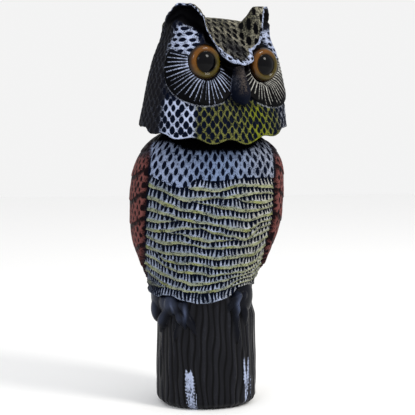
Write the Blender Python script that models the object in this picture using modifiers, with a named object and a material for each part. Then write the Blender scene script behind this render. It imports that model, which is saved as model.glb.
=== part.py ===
"""A garden owl decoy: a moulded owl on a tree stump, whose separate head turns on a neck pin.

The body faces -Y, its underside stands on z = 0 and the neck pin is the Z axis. The body and the head are
lofts of rings. A ring point is named by its bearing (0 faces the owl's front, + is towards the owl's left)
and its height, and the radius there is a smooth outline plus carved relief. The eyes, the neck and the
sockets are turned shapes.
"""

import math

import bmesh
import bpy
import numpy as np

MM = 0.001

# Whole figure: 400 mm from the underside to the ear tips
HEAD_TURN = math.radians(20)
FIT_GAP = 0.3 * MM

# Stump
STUMP_HALF_WIDTH = 50 * MM
STUMP_HALF_DEPTH = 46 * MM
STUMP_FOOT_ROUNDING = 4 * MM
BARK_GROOVES = 48
BARK_DEPTH = 1.3 * MM
STUMP_WAIST = 3 * MM

# Torso sections: height, half width, half depth, sway to the owl's left, lean forward, all in mm
TORSO_SECTIONS = (
    (96, 52, 54, -5, -1),
    (115, 56, 57.5, -6.5, -1.5),
    (127, 58.5, 59, -4.5, -1.2),
    (143, 63.5, 60.2, -3.5, -0.8),
    (159, 69.5, 62, -3.5, 2),
    (176, 74.5, 63.5, -2.5, 5),
    (192, 77, 64, -1.5, 8),
    (214, 77.7, 63, -1, 10),
    (232, 76.7, 60, 0, 11),
    (245, 74, 57, 1, 11),
    (257, 68, 52, 1.5, 10),
    (265, 61, 46, 1.5, 8),
    (271, 53, 38, 1, 6),
    (276, 42, 30, 0.5, 4),
    (280, 26, 22, 0, 0),
)
TORSO_SQUARENESS = 2.15

# Breast: the pale bib on top, then lapping rows of feathers down to a hem over the stump. Edges are points
# of bearing in degrees and height in mm. A row runs out where its lip meets the next one.
BIB_EDGE = (
    (-75, 238),
    (-60, 231.5),
    (-50, 227),
    (-42, 222.8),
    (-35, 221.2),
    (-27, 222.5),
    (-23, 228),
    (-20, 229.3),
    (-10, 228),
    (0, 227.3),
    (10, 229),
    (30, 230.5),
    (60, 230),
)
BIB_THICKNESS = 1.4 * MM
LIP_BEARINGS = (-75, -60, -45, -30, -15, 0, 15, 30, 45, 60, 75)
ROW_LIPS = (
    (240, 235, 226, 221.5, 217.6, 217.6, 220.8, 221.7, 221, 218.5, 218),
    (224, 220.5, 215.8, 209, 208.7, 211.2, 211.2, 213, 215.3, 213.5, 213),
    (224, 220.5, 215.8, 209, 208.7, 211.2, 211.2, 205.6, 205, 209, 210),
    (224, 220.5, 215.8, 209, 205.8, 201.8, 199.6, 196.7, 199.3, 203, 204),
    (212, 209.5, 203.2, 199, 196.5, 191.2, 191.3, 188.2, 191.4, 194.5, 196),
    (200, 198.3, 194.1, 189.7, 187.2, 184, 180, 178.2, 185.8, 189, 190),
    (189, 188, 187.2, 189.7, 187.2, 184, 180, 178.2, 185.8, 189, 190),
    (181, 179, 177.9, 180.3, 182.2, 176, 173, 170, 180.5, 184, 185),
    (181, 179, 177.9, 175, 170.2, 168.7, 169.5, 170, 174, 178, 179),
    (174, 170.5, 166, 166, 163.8, 162, 161.3, 162.5, 164.3, 171, 173),
    (161, 159, 156.4, 155, 153.7, 151.3, 150.9, 152.2, 153.8, 161.5, 163),
    (161, 159, 148.5, 146.4, 144.8, 142.6, 141.5, 142.4, 144.8, 151.5, 155),
    (153.5, 149.5, 141.7, 138, 136.5, 133.7, 136.5, 136, 139.5, 146, 148),
    (142.5, 136.8, 132, 128.9, 125, 126.5, 130.5, 133, 135, 140, 142),
    (134, 129, 122.2, 120, 118.7, 117.6, 121.2, 129, 131, 134, 136),
    (122, 122.5, 122.2, 120, 118.7, 117.6, 121.2, 125, 127, 129, 130),
)
ROW_STEP = 2.1 * MM
ROW_RIPPLE = 0.5 * MM
BREAST_HEM = (
    (-180, 118),
    (-110, 116),
    (-78, 114),
    (-60, 112.2),
    (-50, 114.9),
    (-40, 115),
    (-30, 111.3),
    (-20, 109.6),
    (-12, 107.8),
    (0, 108.2),
    (10, 110.4),
    (20, 113.1),
    (26, 116),
    (31, 122.5),
    (45, 124),
    (60, 122),
    (110, 120),
    (180, 118),
)

# Wings: height in mm and the front edge's bearing there in degrees, on the owl's left and right
LEFT_WING_EDGE = (
    (112, 118),
    (126, 104),
    (136, 86),
    (142, 76),
    (150, 69),
    (160, 64),
    (175, 61.5),
    (214, 61),
    (235, 62),
    (250, 66),
    (262, 76),
    (272, 100),
)
RIGHT_WING_EDGE = (
    (112, 122),
    (126, 112),
    (136, 100),
    (142, 92),
    (150, 80),
    (160, 72),
    (175, 68),
    (214, 66),
    (235, 66.5),
    (250, 70),
    (262, 80),
    (272, 102),
)
WING_THICKNESS = 3.6 * MM
WING_GROOVE = 1.6 * MM
WING_BAND_PITCH = 24 * MM
WING_BAND_STEP = 0.7 * MM
WING_FOLD = math.radians(9)

# Tail on the back of the stump
TAIL_HALF_WIDTH = 27 * MM
TAIL_TIP = 62 * MM
TAIL_THICKNESS = 9 * MM

# Feet: each toe runs from (bearing, height) to (bearing, height), with half width and thickness, deg and mm
TOES = (
    ((-50, 109), (-74, 76), 6.5, 9),
    ((-47, 107), (-35, 82), 5.5, 8),
    ((-44, 88), (-50, 66), 2.6, 3.5),
    ((-38, 106), (-22, 76), 4.5, 6),
    ((26, 112), (18, 98), 4.5, 5),
    ((28, 114), (27, 90), 4.5, 8),
    ((27.5, 92), (31, 66), 3.2, 5),
    ((38, 114), (44, 84), 6.0, 5),
)
# The feathered legs: bearing in degrees, height, half width, half height and thickness in mm
LEGS = ((-56, 106, 16, 13, 8), (-84, 110, 20, 17, 8), (-82, 98, 10, 15, 9), (44, 112, 17, 16, 5))

# Neck: a boss that carries the head and a pin inside it
RECESS_CEILING = 292 * MM
BOSS_RADIUS = 24 * MM
BOSS_TOP = RECESS_CEILING - FIT_GAP
PIN_RADIUS = 9 * MM
PIN_TOP = 322 * MM
NECK_ROOT = 262 * MM
NECK_CLEARANCE = 0.5 * MM
PIN_CHAMFER = 1.5 * MM

# Head sections: height, half width, depth to the face, depth to the nape, squareness of the face, in mm
HEAD_FORWARD = 13 * MM
HEAD_SECTIONS = (
    (255, 79, 66, 66, 2.4),
    (281, 76, 62, 62, 2.5),
    (306, 71.5, 54, 55, 2.9),
    (326, 68, 50, 50, 3.4),
    (346, 63, 47, 44, 3.8),
    (371, 53.5, 40, 37, 3.8),
    (400, 46, 36, 26, 3.4),
)
# The front edge of the crown: brow, ear tufts and nape, as height in mm against bearing in degrees
CROWN_EDGE = (
    (0, 340),
    (13, 343.5),
    (24, 354),
    (34, 366),
    (41, 378),
    (48, 391),
    (56, 399),
    (65, 400),
    (74, 392),
    (88, 379),
    (106, 373),
    (125, 370),
    (180, 368),
)
# How much higher the edge lies on the owl's right
RIGHT_EAR_RISE = (
    (-85, 0),
    (-75, -1.5),
    (-60, -3),
    (-50, 0.5),
    (-44, 4),
    (-40.5, 8),
    (-37, 3),
    (-30, 1.8),
    (-20, 0),
)
CROWN_HEIGHT = 390.5 * MM
CROWN_ROUNDING = 4 * MM
FOREHEAD_SLOPE = 0.84
BROW_VISOR = 13 * MM
BROW_ROLL = 3.5 * MM
BROW_LIP = 4.2 * MM
EAR_ROOT = 366 * MM
EAR_ROOT_RAMP = 22 * MM
EAR_TUFT_BEARING = 61
EAR_TUFT_WIDTH = 27
EAR_FLARE = 8 * MM
EAR_WALL_BEARING = 76
EAR_WALL_WIDTH = 18
EAR_HOLLOW_BEARING = 52
EAR_HOLLOW_WIDTH = 14
EAR_HOLLOW_DEPTH = 12 * MM
EAR_HOLLOW_HEIGHT = 30 * MM
BROW_UNDERCUT = 6 * MM
HEM_HEIGHT = (
    (-180, 284),
    (-122, 283),
    (-95, 282),
    (-90, 282),
    (-85, 277),
    (-80, 272),
    (-75, 270.7),
    (-70, 273),
    (-65, 273.5),
    (-60, 271),
    (-50, 267.5),
    (-45, 267),
    (-28, 265),
    (-5, 265),
    (8, 265.5),
    (15, 267.5),
    (20, 270.5),
    (25, 272.4),
    (30, 273.4),
    (36, 273.7),
    (42, 276.2),
    (48, 277.7),
    (52, 280),
    (60, 283.2),
    (75, 284),
    (90, 286),
    (120, 286),
    (180, 284),
)
HEM_LOBES = 12
HEM_LOBE_DEPTH = 4.5 * MM
SKIRT_WALL = 5 * MM
SKIRT_TUCK = 2 * MM

# Face
EYE_SIDE = 33.4 * MM
EYE_FRONT = 55.6 * MM
EYE_HEIGHT = 340.5 * MM
EYE_TURN = math.radians(4)
EYE_RADIUS = 16.8 * MM
PUPIL_RADIUS = 10.2 * MM
EYE_DEPTH = 7 * MM
EYE_SEAT_SINK = 0.5 * MM
EYE_SEAT_MARGIN = 6 * MM
RING_BULGE = 2.8 * MM
RING_CREST = 1.5 * MM
PUPIL_BULGE = 4 * MM
DISC_RADIUS = 41.5 * MM
DISC_BEARING = math.radians(35.6)
DISC_SPREAD = 65 * MM
DISC_DISH = 3.4 * MM
DISC_RIM = 1.8 * MM
BEAK_ROOT = 340 * MM
BEAK_TIP = 300 * MM
BEAK_FRONT = 78 * MM
BEAK_HALF_WIDTH = 9 * MM
BEAK_HOLLOW = 4 * MM

# Fineness of the lofts before they are thinned to facets
BODY_COLUMNS = 300
BODY_ROW_HEIGHT = 1.2 * MM
HEAD_COLUMNS = 300
HEAD_CROWN_ROWS = 40
HEAD_FACE_ROWS = 110
BODY_FACETS = 4750
HEAD_FACETS = 3500
TURNED_STEPS = 24


def smoothstep(low, high, value):
    """0 below low, 1 above high and a smooth ramp between them."""
    share = np.clip((value - low) / (high - low), 0, 1)
    return share * share * (3 - 2 * share)


def bump(value, centre, width):
    """A bell curve of height 1."""
    return np.exp(-(((value - centre) / width) ** 2))


def curve_through(points, value):
    """A smooth curve through (x, y) points that never overshoots them."""
    xs, ys = np.array(points, float).T
    slopes = np.diff(ys) / np.diff(xs)
    product = slopes[:-1] * slopes[1:]
    same_way = product > 0
    total = np.where(same_way, slopes[:-1] + slopes[1:], 1)
    tangents = np.concatenate([[slopes[0]], np.where(same_way, 2 * product / total, 0), [slopes[-1]]])
    value = np.clip(value, xs[0], xs[-1])
    i = np.clip(np.searchsorted(xs, value, side="right") - 1, 0, len(xs) - 2)
    width = xs[i + 1] - xs[i]
    t = (value - xs[i]) / width
    start = (1 + 2 * t) * (1 - t) ** 2 * ys[i] + t * (1 - t) ** 2 * width * tangents[i]
    end = t * t * (3 - 2 * t) * ys[i + 1] + t * t * (t - 1) * width * tangents[i + 1]
    return start + end


def column(sections, index):
    """One column of a table of sections, as (height, value) points."""
    return [(row[0], row[index]) for row in sections]


def section_radius(bearing, half_width, half_depth, squareness):
    """Distance from the middle of a rounded section to its edge."""
    side = np.abs(np.sin(bearing)) / half_width
    front = np.abs(np.cos(bearing)) / half_depth
    return (side**squareness + front**squareness) ** (-1 / squareness)


def bark(bearing, height):
    """Ridges and V grooves of the stump, from -1 in a groove to 0 on a ridge."""
    waver = 0.022 * np.sin(height / (17 * MM) + 3 * bearing) + 0.014 * np.sin(height / (7 * MM) + 11 * bearing)
    phase = (bearing + waver) * BARK_GROOVES / 2 + 0.4 * np.sin(2 * bearing + height / (38 * MM))
    return -((1 - np.abs(np.sin(phase))) ** 1.6)


def toe_relief(bearing, height, radius):
    """Height of the toes and claws above the stump."""
    relief = np.zeros_like(bearing)
    for start, end, half_width, thickness in TOES:
        run = (np.radians(end[0] - start[0]) * radius, (end[1] - start[1]) * MM)
        across = (bearing - math.radians(start[0])) * radius
        up = height - start[1] * MM
        length_squared = run[0] ** 2 + run[1] ** 2
        along = np.clip((across * run[0] + up * run[1]) / length_squared, 0, 1)
        distance = np.hypot(across - along * run[0], up - along * run[1])
        knuckle = 1 + 0.16 * np.cos(along * 9.4)
        taper = (1 - 0.62 * along**2.5) * knuckle
        round_top = np.sqrt(np.clip(1 - (distance / (half_width * MM * taper)) ** 2, 0, 1))
        relief = np.maximum(relief, thickness * MM * taper * round_top)
    for at, level, width, tall, thickness in LEGS:
        across = (bearing - math.radians(at)) * radius / (width * MM)
        up = (height - level * MM) / (tall * MM)
        relief = np.maximum(relief, thickness * MM * np.sqrt(np.clip(1 - across**2 - up**2, 0, 1)))
    return relief


def tail_relief(bearing, height):
    """The folded tail that lies down the back of the stump."""
    across = np.sin(bearing) * STUMP_HALF_WIDTH
    behind = np.cos(bearing) < 0
    tip = TAIL_TIP + 12 * MM * (across / TAIL_HALF_WIDTH) ** 2
    side = 1 - smoothstep(TAIL_HALF_WIDTH - 3 * MM, TAIL_HALF_WIDTH, np.abs(across))
    quills = 1 - 0.16 * np.abs(np.sin(across / TAIL_HALF_WIDTH * math.pi * 1.5))
    return np.where(behind, TAIL_THICKNESS * quills * side * smoothstep(tip, tip + 4 * MM, height), 0)


def stump_radius(bearing, height):
    plain = section_radius(bearing, STUMP_HALF_WIDTH, STUMP_HALF_DEPTH, 2.2)
    foot = STUMP_FOOT_ROUNDING * np.clip(1 - height / STUMP_FOOT_ROUNDING, 0, 1) ** 2
    flare = 1.2 * MM * bump(height, 30 * MM, 30 * MM)
    waist = STUMP_WAIST * bump(np.degrees(bearing), 80, 35) * smoothstep(88 * MM, 102 * MM, height)
    plain = plain + flare - foot - waist
    carved = plain + BARK_DEPTH * bark(bearing, height)
    below_hem = 1 - smoothstep(0, 5 * MM, height - breast_hem(bearing))
    feet = plain - 1 * MM + toe_relief(bearing, height, STUMP_HALF_WIDTH) * below_hem
    return np.maximum(carved, feet) + tail_relief(bearing, height)


def breast_hem(bearing):
    """Height of the lowest breast feathers, where the stump comes out."""
    return curve_through(BREAST_HEM, np.degrees(bearing)) * MM


def bib_edge(bearing):
    return curve_through(BIB_EDGE, np.degrees(bearing)) * MM


def feather_row(bearing, height):
    """The breast row a point lies in: its number, how far down it the point lies and the row's height."""
    ripple = np.sin(9 * bearing + height / (11 * MM)) + 0.6 * np.sin(21 * bearing - height / (8 * MM))
    level = height + ROW_RIPPLE * ripple
    top = np.maximum(bib_edge(bearing), level)
    number = np.zeros_like(level)
    down = np.zeros_like(level)
    tall = np.full_like(level, MM)
    degrees = np.degrees(bearing)
    lips = [curve_through(list(zip(LIP_BEARINGS, row)), degrees) * MM for row in ROW_LIPS]
    for row, lip in enumerate([*lips, breast_hem(bearing) - MM]):
        lip = np.minimum(lip, top)
        inside = (level <= top) & (level > lip)
        number = np.where(inside, row, number)
        tall = np.where(inside, top - lip, tall)
        down = np.where(inside, (top - level) / np.maximum(tall, 0.01 * MM), down)
        top = lip
    return number, down, tall


def wing_edge(bearing, height):
    left = curve_through(LEFT_WING_EDGE, height / MM)
    right = curve_through(RIGHT_WING_EDGE, height / MM)
    return np.radians(np.where(bearing < 0, right, left))


def breast_relief(bearing, height):
    """Lapping rows: each is thickest at its lower edge, where it steps down to the next."""
    _, down, tall = feather_row(bearing, height)
    lap = ROW_STEP * (down**1.4 - 0.5) * smoothstep(1 * MM, 5 * MM, tall)
    return np.where(height > bib_edge(bearing), BIB_THICKNESS, lap)


def wing_relief(bearing, height):
    """Bands of covert feathers over long flight feathers, with the fold where the wings meet behind."""
    side = np.abs(bearing)
    band = (height + 9 * MM * np.cos(side * 4)) / WING_BAND_PITCH
    coverts = WING_BAND_STEP * ((np.ceil(band) - band) ** 1.5 - 0.5)
    quills = 1.1 * MM * (np.abs(np.sin((side - 1.2) * 11)) ** 0.6 - 0.6)
    low = 1 - smoothstep(168 * MM, 196 * MM, height)
    fold = 4 * MM * bump(math.pi - side, 0, WING_FOLD) * (1 - smoothstep(235 * MM, 268 * MM, height))
    return coverts * (1 - low * 0.6) + quills * low - fold


def torso_radius(bearing, height):
    level = height / MM
    half_width = curve_through(column(TORSO_SECTIONS, 1), level) * MM
    half_depth = curve_through(column(TORSO_SECTIONS, 2), level) * MM
    outer = section_radius(bearing, half_width, half_depth, TORSO_SQUARENESS)
    edge = wing_edge(bearing, height)
    past_edge = (np.abs(bearing) - edge) * half_width
    winged = smoothstep(-1.2 * MM, 1.2 * MM, past_edge)
    below_shoulder = 1 - smoothstep(262 * MM, 274 * MM, height)
    groove = WING_GROOVE * bump(past_edge, -2.5 * MM, 2.2 * MM)
    breast = breast_relief(bearing, height) - WING_THICKNESS - groove
    wing = wing_relief(bearing, height)
    return outer + (breast * (1 - winged) + wing * winged) * below_shoulder


def body_point(bearing, height):
    """(x, y) of the body's surface: the torso above the hem, the stump with the feet below it."""
    level = height / MM
    above = smoothstep(-0.7 * MM, 0.7 * MM, height - breast_hem(bearing))
    sway = curve_through(column(TORSO_SECTIONS, 3), level) * MM
    lean = curve_through(column(TORSO_SECTIONS, 4), level) * MM
    torso = torso_radius(bearing, np.maximum(height, TORSO_SECTIONS[0][0] * MM))
    stump = stump_radius(bearing, height)
    torso_x = sway + torso * np.sin(bearing)
    torso_y = -lean - torso * np.cos(bearing)
    stump_x = stump * np.sin(bearing)
    stump_y = -stump * np.cos(bearing)
    return stump_x + (torso_x - stump_x) * above, stump_y + (torso_y - stump_y) * above


def crown_edge(bearing):
    degrees = np.degrees(bearing)
    return (curve_through(CROWN_EDGE, np.abs(degrees)) + curve_through(RIGHT_EAR_RISE, degrees)) * MM


def hem_height(bearing):
    """The scalloped lower edge of the head."""
    lobes = 0.5 + 0.5 * np.cos(bearing * HEM_LOBES)
    return curve_through(HEM_HEIGHT, np.degrees(bearing)) * MM + HEM_LOBE_DEPTH * (0.5 - lobes)


def plain_head_radius(bearing, height):
    level = height / MM
    half_width, to_face, to_nape, squareness = (
        curve_through(column(HEAD_SECTIONS, i), level) * (MM if i < 4 else 1) for i in range(1, 5)
    )
    face = section_radius(bearing, half_width, to_face, squareness)
    nape = section_radius(bearing, half_width, to_nape, 2.1)
    tuck = SKIRT_TUCK * bump(np.degrees(bearing), 75, 35) * (1 - smoothstep(280 * MM, 315 * MM, height))
    return np.where(np.cos(bearing) > 0, face, nape) - tuck


def disc_place(bearing, height):
    """Distance from the nearer eye over the face, and the angle there (0 outwards, + upwards)."""
    side = (np.abs(bearing) - DISC_BEARING) * DISC_SPREAD
    up = height - EYE_HEIGHT
    return np.hypot(side, up), np.arctan2(up, side)


def disc_share(angle):
    """1 where a facial disc shows, below the brow and beside the eye, 0 in the patch over the eye."""
    return 1 - smoothstep(math.radians(8), math.radians(28), angle)


def eye_seat(bearing):
    """Radius of the flat seat that an eye rests on."""
    slant = math.tan(EYE_TURN)
    reach = EYE_FRONT - HEAD_FORWARD + EYE_SIDE * slant
    return reach / np.maximum(np.cos(bearing) + np.abs(np.sin(bearing)) * slant, 0.2)


def ear_flare(bearing, height):
    """The outer wall of each ear, which stands out from the side of the head."""
    side = np.degrees(np.abs(bearing))
    above_root = smoothstep(EAR_ROOT, EAR_ROOT + EAR_ROOT_RAMP, height)
    return EAR_FLARE * bump(side, EAR_WALL_BEARING, EAR_WALL_WIDTH) * above_root


def brow_visor(bearing):
    """How far the rim of the crown stands out, most of all over the beak."""
    side = np.degrees(np.abs(bearing))
    rim = 1.2 * MM * (1 - smoothstep(90, 115, side))
    return BROW_VISOR * bump(side, 0, 14) + BROW_ROLL * bump(side, 28, 16) + rim


def face_relief(bearing, height):
    """Brow and ear rims with the hollows under them, the facial discs and the dips beside the beak."""
    side = np.degrees(np.abs(bearing))
    distance, angle = disc_place(bearing, height)
    shows = disc_share(angle) * (side < 100)
    inside = 1 - smoothstep(DISC_RADIUS - 0.8 * MM, DISC_RADIUS + 0.8 * MM, distance)
    dish = DISC_RIM - (DISC_DISH + DISC_RIM) * np.clip(1 - (distance / DISC_RADIUS) ** 2, 0, 1)
    beside_beak = smoothstep(BEAK_TIP - 4 * MM, BEAK_TIP + 6 * MM, height)
    dip = BEAK_HOLLOW * bump(side, 0, 15) * beside_beak
    ear = bump(side, EAR_HOLLOW_BEARING, EAR_HOLLOW_WIDTH)
    under = crown_edge(bearing) - height
    lip = 1 - smoothstep(BROW_LIP * 0.6, BROW_LIP * 1.2, under)
    depth = (BROW_UNDERCUT + (EAR_HOLLOW_DEPTH - BROW_UNDERCUT) * ear) * (1 - smoothstep(66, 84, side))
    reach = 12 * MM + (EAR_HOLLOW_HEIGHT - 12 * MM) * ear
    hollow = depth * (1 - lip) * (1 - smoothstep(reach * 0.5, reach, under)) * smoothstep(2, 16, side)
    return brow_visor(bearing) * lip + ear_flare(bearing, height) + dish * inside * shows - dip - hollow


def face_radius(bearing, height):
    """The head without its beak, with a flat seat for each eye."""
    face = plain_head_radius(bearing, height) + face_relief(bearing, height)
    distance = disc_place(bearing, height)[0]
    round_eye = 1 - smoothstep(EYE_RADIUS, EYE_RADIUS + EYE_SEAT_MARGIN, distance)
    return face + (eye_seat(bearing) - EYE_SEAT_SINK - face) * round_eye


def beak_radius(height):
    """Depth of the beak's ridge below the brow, and its half width there."""
    along = (BEAK_ROOT - height) / (BEAK_ROOT - BEAK_TIP)
    root_slope = 7 * MM * (1 - smoothstep(0, 0.75, along))
    tip_hook = 3 * MM * smoothstep(0.8, 1.05, along)
    ridge = BEAK_FRONT - HEAD_FORWARD - root_slope - tip_hook
    swell = 0.32 + 0.68 * smoothstep(0.05, 0.8, along)
    point = np.sqrt(np.clip(1.06 - along**6, 0.02, 1))
    return ridge, BEAK_HALF_WIDTH * swell * point


def head_radius(bearing, height):
    """The head below the crown's edge."""
    face = face_radius(bearing, height)
    ridge, half_width = beak_radius(height)
    across = np.sin(bearing) * face
    beak = ridge - 9 * MM * (np.abs(across) / half_width) ** 2.2
    on_beak = (height > BEAK_TIP) & (height < BEAK_ROOT) & (np.abs(bearing) < math.radians(25))
    return np.where(on_beak, np.maximum(face, beak), face)


def crown_top(bearing, radius):
    """The forehead's slope from the brow up to the level crown."""
    brow_front = head_radius(np.zeros(1), crown_edge(np.zeros(1)))[0]
    slope = crown_edge(np.zeros(1))[0] + (brow_front - radius * np.cos(bearing)) * FOREHEAD_SLOPE
    level = np.exp(-CROWN_HEIGHT / CROWN_ROUNDING)
    return -CROWN_ROUNDING * np.log(level + np.exp(-slope / CROWN_ROUNDING))


def crown_point(bearing, inward):
    """Radius and height of the crown's top, from its edge (inward 0) to the middle (inward 1)."""
    edge = crown_edge(bearing)
    side = np.degrees(np.abs(bearing))
    edge_radius = head_radius(bearing, edge)
    radius = edge_radius * (1 - inward)
    ear = bump(side, EAR_TUFT_BEARING, EAR_TUFT_WIDTH)
    behind_brow = 1 - smoothstep(0.04, 0.45, inward)
    behind_ear = 1 - smoothstep(0.1, 0.62, inward)
    dome = 1 - (1 - (1 - inward) ** 3) ** (1 / 3)
    lift = edge - crown_top(bearing, edge_radius)
    raised = np.where(lift > 0, behind_brow * (1 - ear) + behind_ear * ear, dome)
    top = crown_top(bearing, radius)
    return radius, np.minimum(top + lift * raised, np.maximum(edge, top))


def bearings(count):
    return np.linspace(-math.pi, math.pi, count, endpoint=False)


def close_rings(name, rings):
    """A closed mesh from rings of points, the first and the last of them filled."""
    count = len(rings[0])
    mesh = bpy.data.meshes.new(name)
    shape = bmesh.new()
    verts = [[shape.verts.new(point) for point in ring] for ring in rings]
    for upper, lower in zip(verts[:-1], verts[1:]):
        for i in range(count):
            j = (i + 1) % count
            shape.faces.new((upper[i], lower[i], lower[j], upper[j]))
    shape.faces.new(reversed(verts[-1]))
    shape.faces.new(verts[0])
    bmesh.ops.recalc_face_normals(shape, faces=shape.faces)
    shape.to_mesh(mesh)
    shape.free()
    return mesh


def body_mesh():
    """Rings from the neck down to the underside."""
    around = bearings(BODY_COLUMNS)
    rings = []
    for height in np.arange(TORSO_SECTIONS[-1][0] * MM, -2 * BODY_ROW_HEIGHT, -BODY_ROW_HEIGHT):
        x, y = body_point(around, np.full(BODY_COLUMNS, height))
        rings.append(np.stack([x, y, np.full(BODY_COLUMNS, height)], axis=1))
    return close_rings("body", rings)


def head_mesh():
    """Rings from the crown over its edge and down the face, round the hem and up inside the recess."""
    around = bearings(HEAD_COLUMNS)
    edge = crown_edge(around)
    hem = hem_height(around)
    profile = []
    for inward in np.linspace(0.97, 0, HEAD_CROWN_ROWS):
        profile.append(crown_point(around, inward))
    for share in np.linspace(0, 1, HEAD_FACE_ROWS)[1:]:
        height = edge + (hem - edge) * share
        profile.append((head_radius(around, height), height))
    inner = plain_head_radius(around, hem) - SKIRT_WALL
    profile.append((inner, hem))
    for share in np.linspace(0, 1, 8)[1:]:
        height = hem + (RECESS_CEILING - hem) * share
        profile.append((plain_head_radius(around, height) - SKIRT_WALL, height))
    for share in (0.7, 0.4, 0.1):
        ceiling = plain_head_radius(around, np.full(HEAD_COLUMNS, RECESS_CEILING)) - SKIRT_WALL
        profile.append((ceiling * share, np.full(HEAD_COLUMNS, RECESS_CEILING)))
    rings = []
    for radius, height in profile:
        x = radius * np.sin(around)
        y = -HEAD_FORWARD - radius * np.cos(around)
        rings.append(np.stack([x, y, height], axis=1))
    return close_rings("head", rings)


def material(name, colour, roughness, metallic=0.0):
    finish = bpy.data.materials.new(name)
    finish.use_nodes = True
    shader = finish.node_tree.nodes["Principled BSDF"]
    shader.inputs["Base Color"].default_value = (*colour, 1)
    shader.inputs["Roughness"].default_value = roughness
    shader.inputs["Metallic"].default_value = metallic
    finish.diffuse_color = (*colour, 1)
    return finish


def add_object(name, mesh, collection, parent=None):
    piece = bpy.data.objects.new(name, mesh)
    collection.objects.link(piece)
    piece.parent = parent
    return piece


def hide_cutter(cutter):
    cutter.hide_render = True
    cutter.display_type = "WIRE"


def turned(name, profile, collection, parent=None):
    """A shape turned about Z from its outer profile, listed from the top down."""
    mesh = bpy.data.meshes.new(name)
    points = [(radius, 0, height) for radius, height in profile]
    mesh.from_pydata(points, [(i, i + 1) for i in range(len(points) - 1)], [])
    piece = add_object(name, mesh, collection, parent)
    screw = piece.modifiers.new("turn", "SCREW")
    screw.steps = TURNED_STEPS
    screw.render_steps = TURNED_STEPS
    screw.use_merge_vertices = True
    screw.merge_threshold = 0.00001
    screw.use_smooth_shade = True
    return piece


def thin_to(piece, facets):
    """Thins a dense loft to a number of facets, keeping most where the form bends."""
    triangles = sum(len(face.vertices) - 2 for face in piece.data.polygons)
    thin = piece.modifiers.new("facets", "DECIMATE")
    thin.ratio = facets / triangles
    thin.use_collapse_triangulate = True


def combine(piece, other, operation):
    cut = piece.modifiers.new(other.name, "BOOLEAN")
    cut.operation = operation
    cut.object = other
    cut.solver = "EXACT"


def make_neck(cutters):
    """The boss and pin on which the head turns."""
    profile = (
        (0, PIN_TOP),
        (PIN_RADIUS - PIN_CHAMFER, PIN_TOP),
        (PIN_RADIUS, PIN_TOP - PIN_CHAMFER),
        (PIN_RADIUS, BOSS_TOP),
        (BOSS_RADIUS - PIN_CHAMFER, BOSS_TOP),
        (BOSS_RADIUS, BOSS_TOP - PIN_CHAMFER),
        (BOSS_RADIUS, NECK_ROOT),
        (0, NECK_ROOT),
    )
    neck = turned("neck", profile, cutters)
    hide_cutter(neck)
    return neck


def make_neck_socket(cutters, pivot):
    """The blind hole in the head that the pin stands in."""
    radius = PIN_RADIUS + NECK_CLEARANCE
    top = PIN_TOP + NECK_CLEARANCE
    below = RECESS_CEILING - 20 * MM
    profile = ((0, top), (radius, top), (radius, below), (0, below))
    socket = turned("neck_socket", profile, cutters, pivot)
    hide_cutter(socket)
    return socket


def make_underside_cutter(cutters):
    """A block whose top is the ground, to cut the underside flat."""
    size = 4 * STUMP_HALF_WIDTH
    bpy.ops.mesh.primitive_cube_add(size=size, location=(0, 0, -size / 2))
    block = bpy.context.object
    block.name = "ground"
    for collection in list(block.users_collection):
        collection.objects.unlink(block)
    cutters.objects.link(block)
    hide_cutter(block)
    return block


def make_body(collection, cutters):
    body = add_object("body", body_mesh(), collection)
    body.data.shade_smooth()
    body.data.materials.append(material("charcoal_plastic", (0.03, 0.032, 0.036), 0.5))
    thin_to(body, BODY_FACETS)
    combine(body, make_underside_cutter(cutters), "DIFFERENCE")
    combine(body, make_neck(cutters), "UNION")
    return body


def place_eye(piece, side):
    """Puts a turned piece on an eye's axis, its own +Z looking out of the face."""
    piece.location = (side * EYE_SIDE, -EYE_FRONT, EYE_HEIGHT)
    piece.rotation_euler = (math.radians(90), 0, side * EYE_TURN)


def eye_profile():
    """From the top of the domed pupil, down its step to the ring and back to the seat."""
    points = []
    for share in np.linspace(0, 1, 5):
        points.append((PUPIL_RADIUS * share, RING_BULGE + PUPIL_BULGE * (1 - share**2) ** 0.8))
    for share in np.linspace(0, 1, 5)[1:]:
        radius = PUPIL_RADIUS + (EYE_RADIUS - PUPIL_RADIUS) * share
        points.append((radius, RING_BULGE * (1 - share**2.2) + RING_CREST * math.sin(math.pi * share**0.8)))
    points.append((EYE_RADIUS, -EYE_DEPTH))
    points.append((0, -EYE_DEPTH))
    return points


def make_eye(name, side, collection, cutters, pivot, head):
    eye = turned(name, eye_profile(), collection, pivot)
    place_eye(eye, side)
    eye.data.materials.append(material(name + "_amber_gloss", (0.55, 0.24, 0.02), 0.08))
    seat = EYE_RADIUS + FIT_GAP
    front = RING_BULGE + 3 * PUPIL_BULGE
    profile = ((0, front), (seat, front), (seat, -EYE_DEPTH - FIT_GAP), (0, -EYE_DEPTH - FIT_GAP))
    socket = turned(name + "_socket", profile, cutters, pivot)
    place_eye(socket, side)
    hide_cutter(socket)
    combine(head, socket, "DIFFERENCE")
    return eye


def make_head(collection, cutters):
    pivot = add_object("head_pivot", None, collection)
    pivot.rotation_euler = (0, 0, HEAD_TURN)
    head = add_object("head", head_mesh(), collection, pivot)
    head.data.shade_smooth()
    head.data.materials.append(material("painted_head_plastic", (0.05, 0.052, 0.058), 0.5))
    thin_to(head, HEAD_FACETS)
    combine(head, make_neck_socket(cutters, pivot), "DIFFERENCE")
    make_eye("eye_left", 1, collection, cutters, pivot, head)
    make_eye("eye_right", -1, collection, cutters, pivot, head)
    return head


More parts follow.
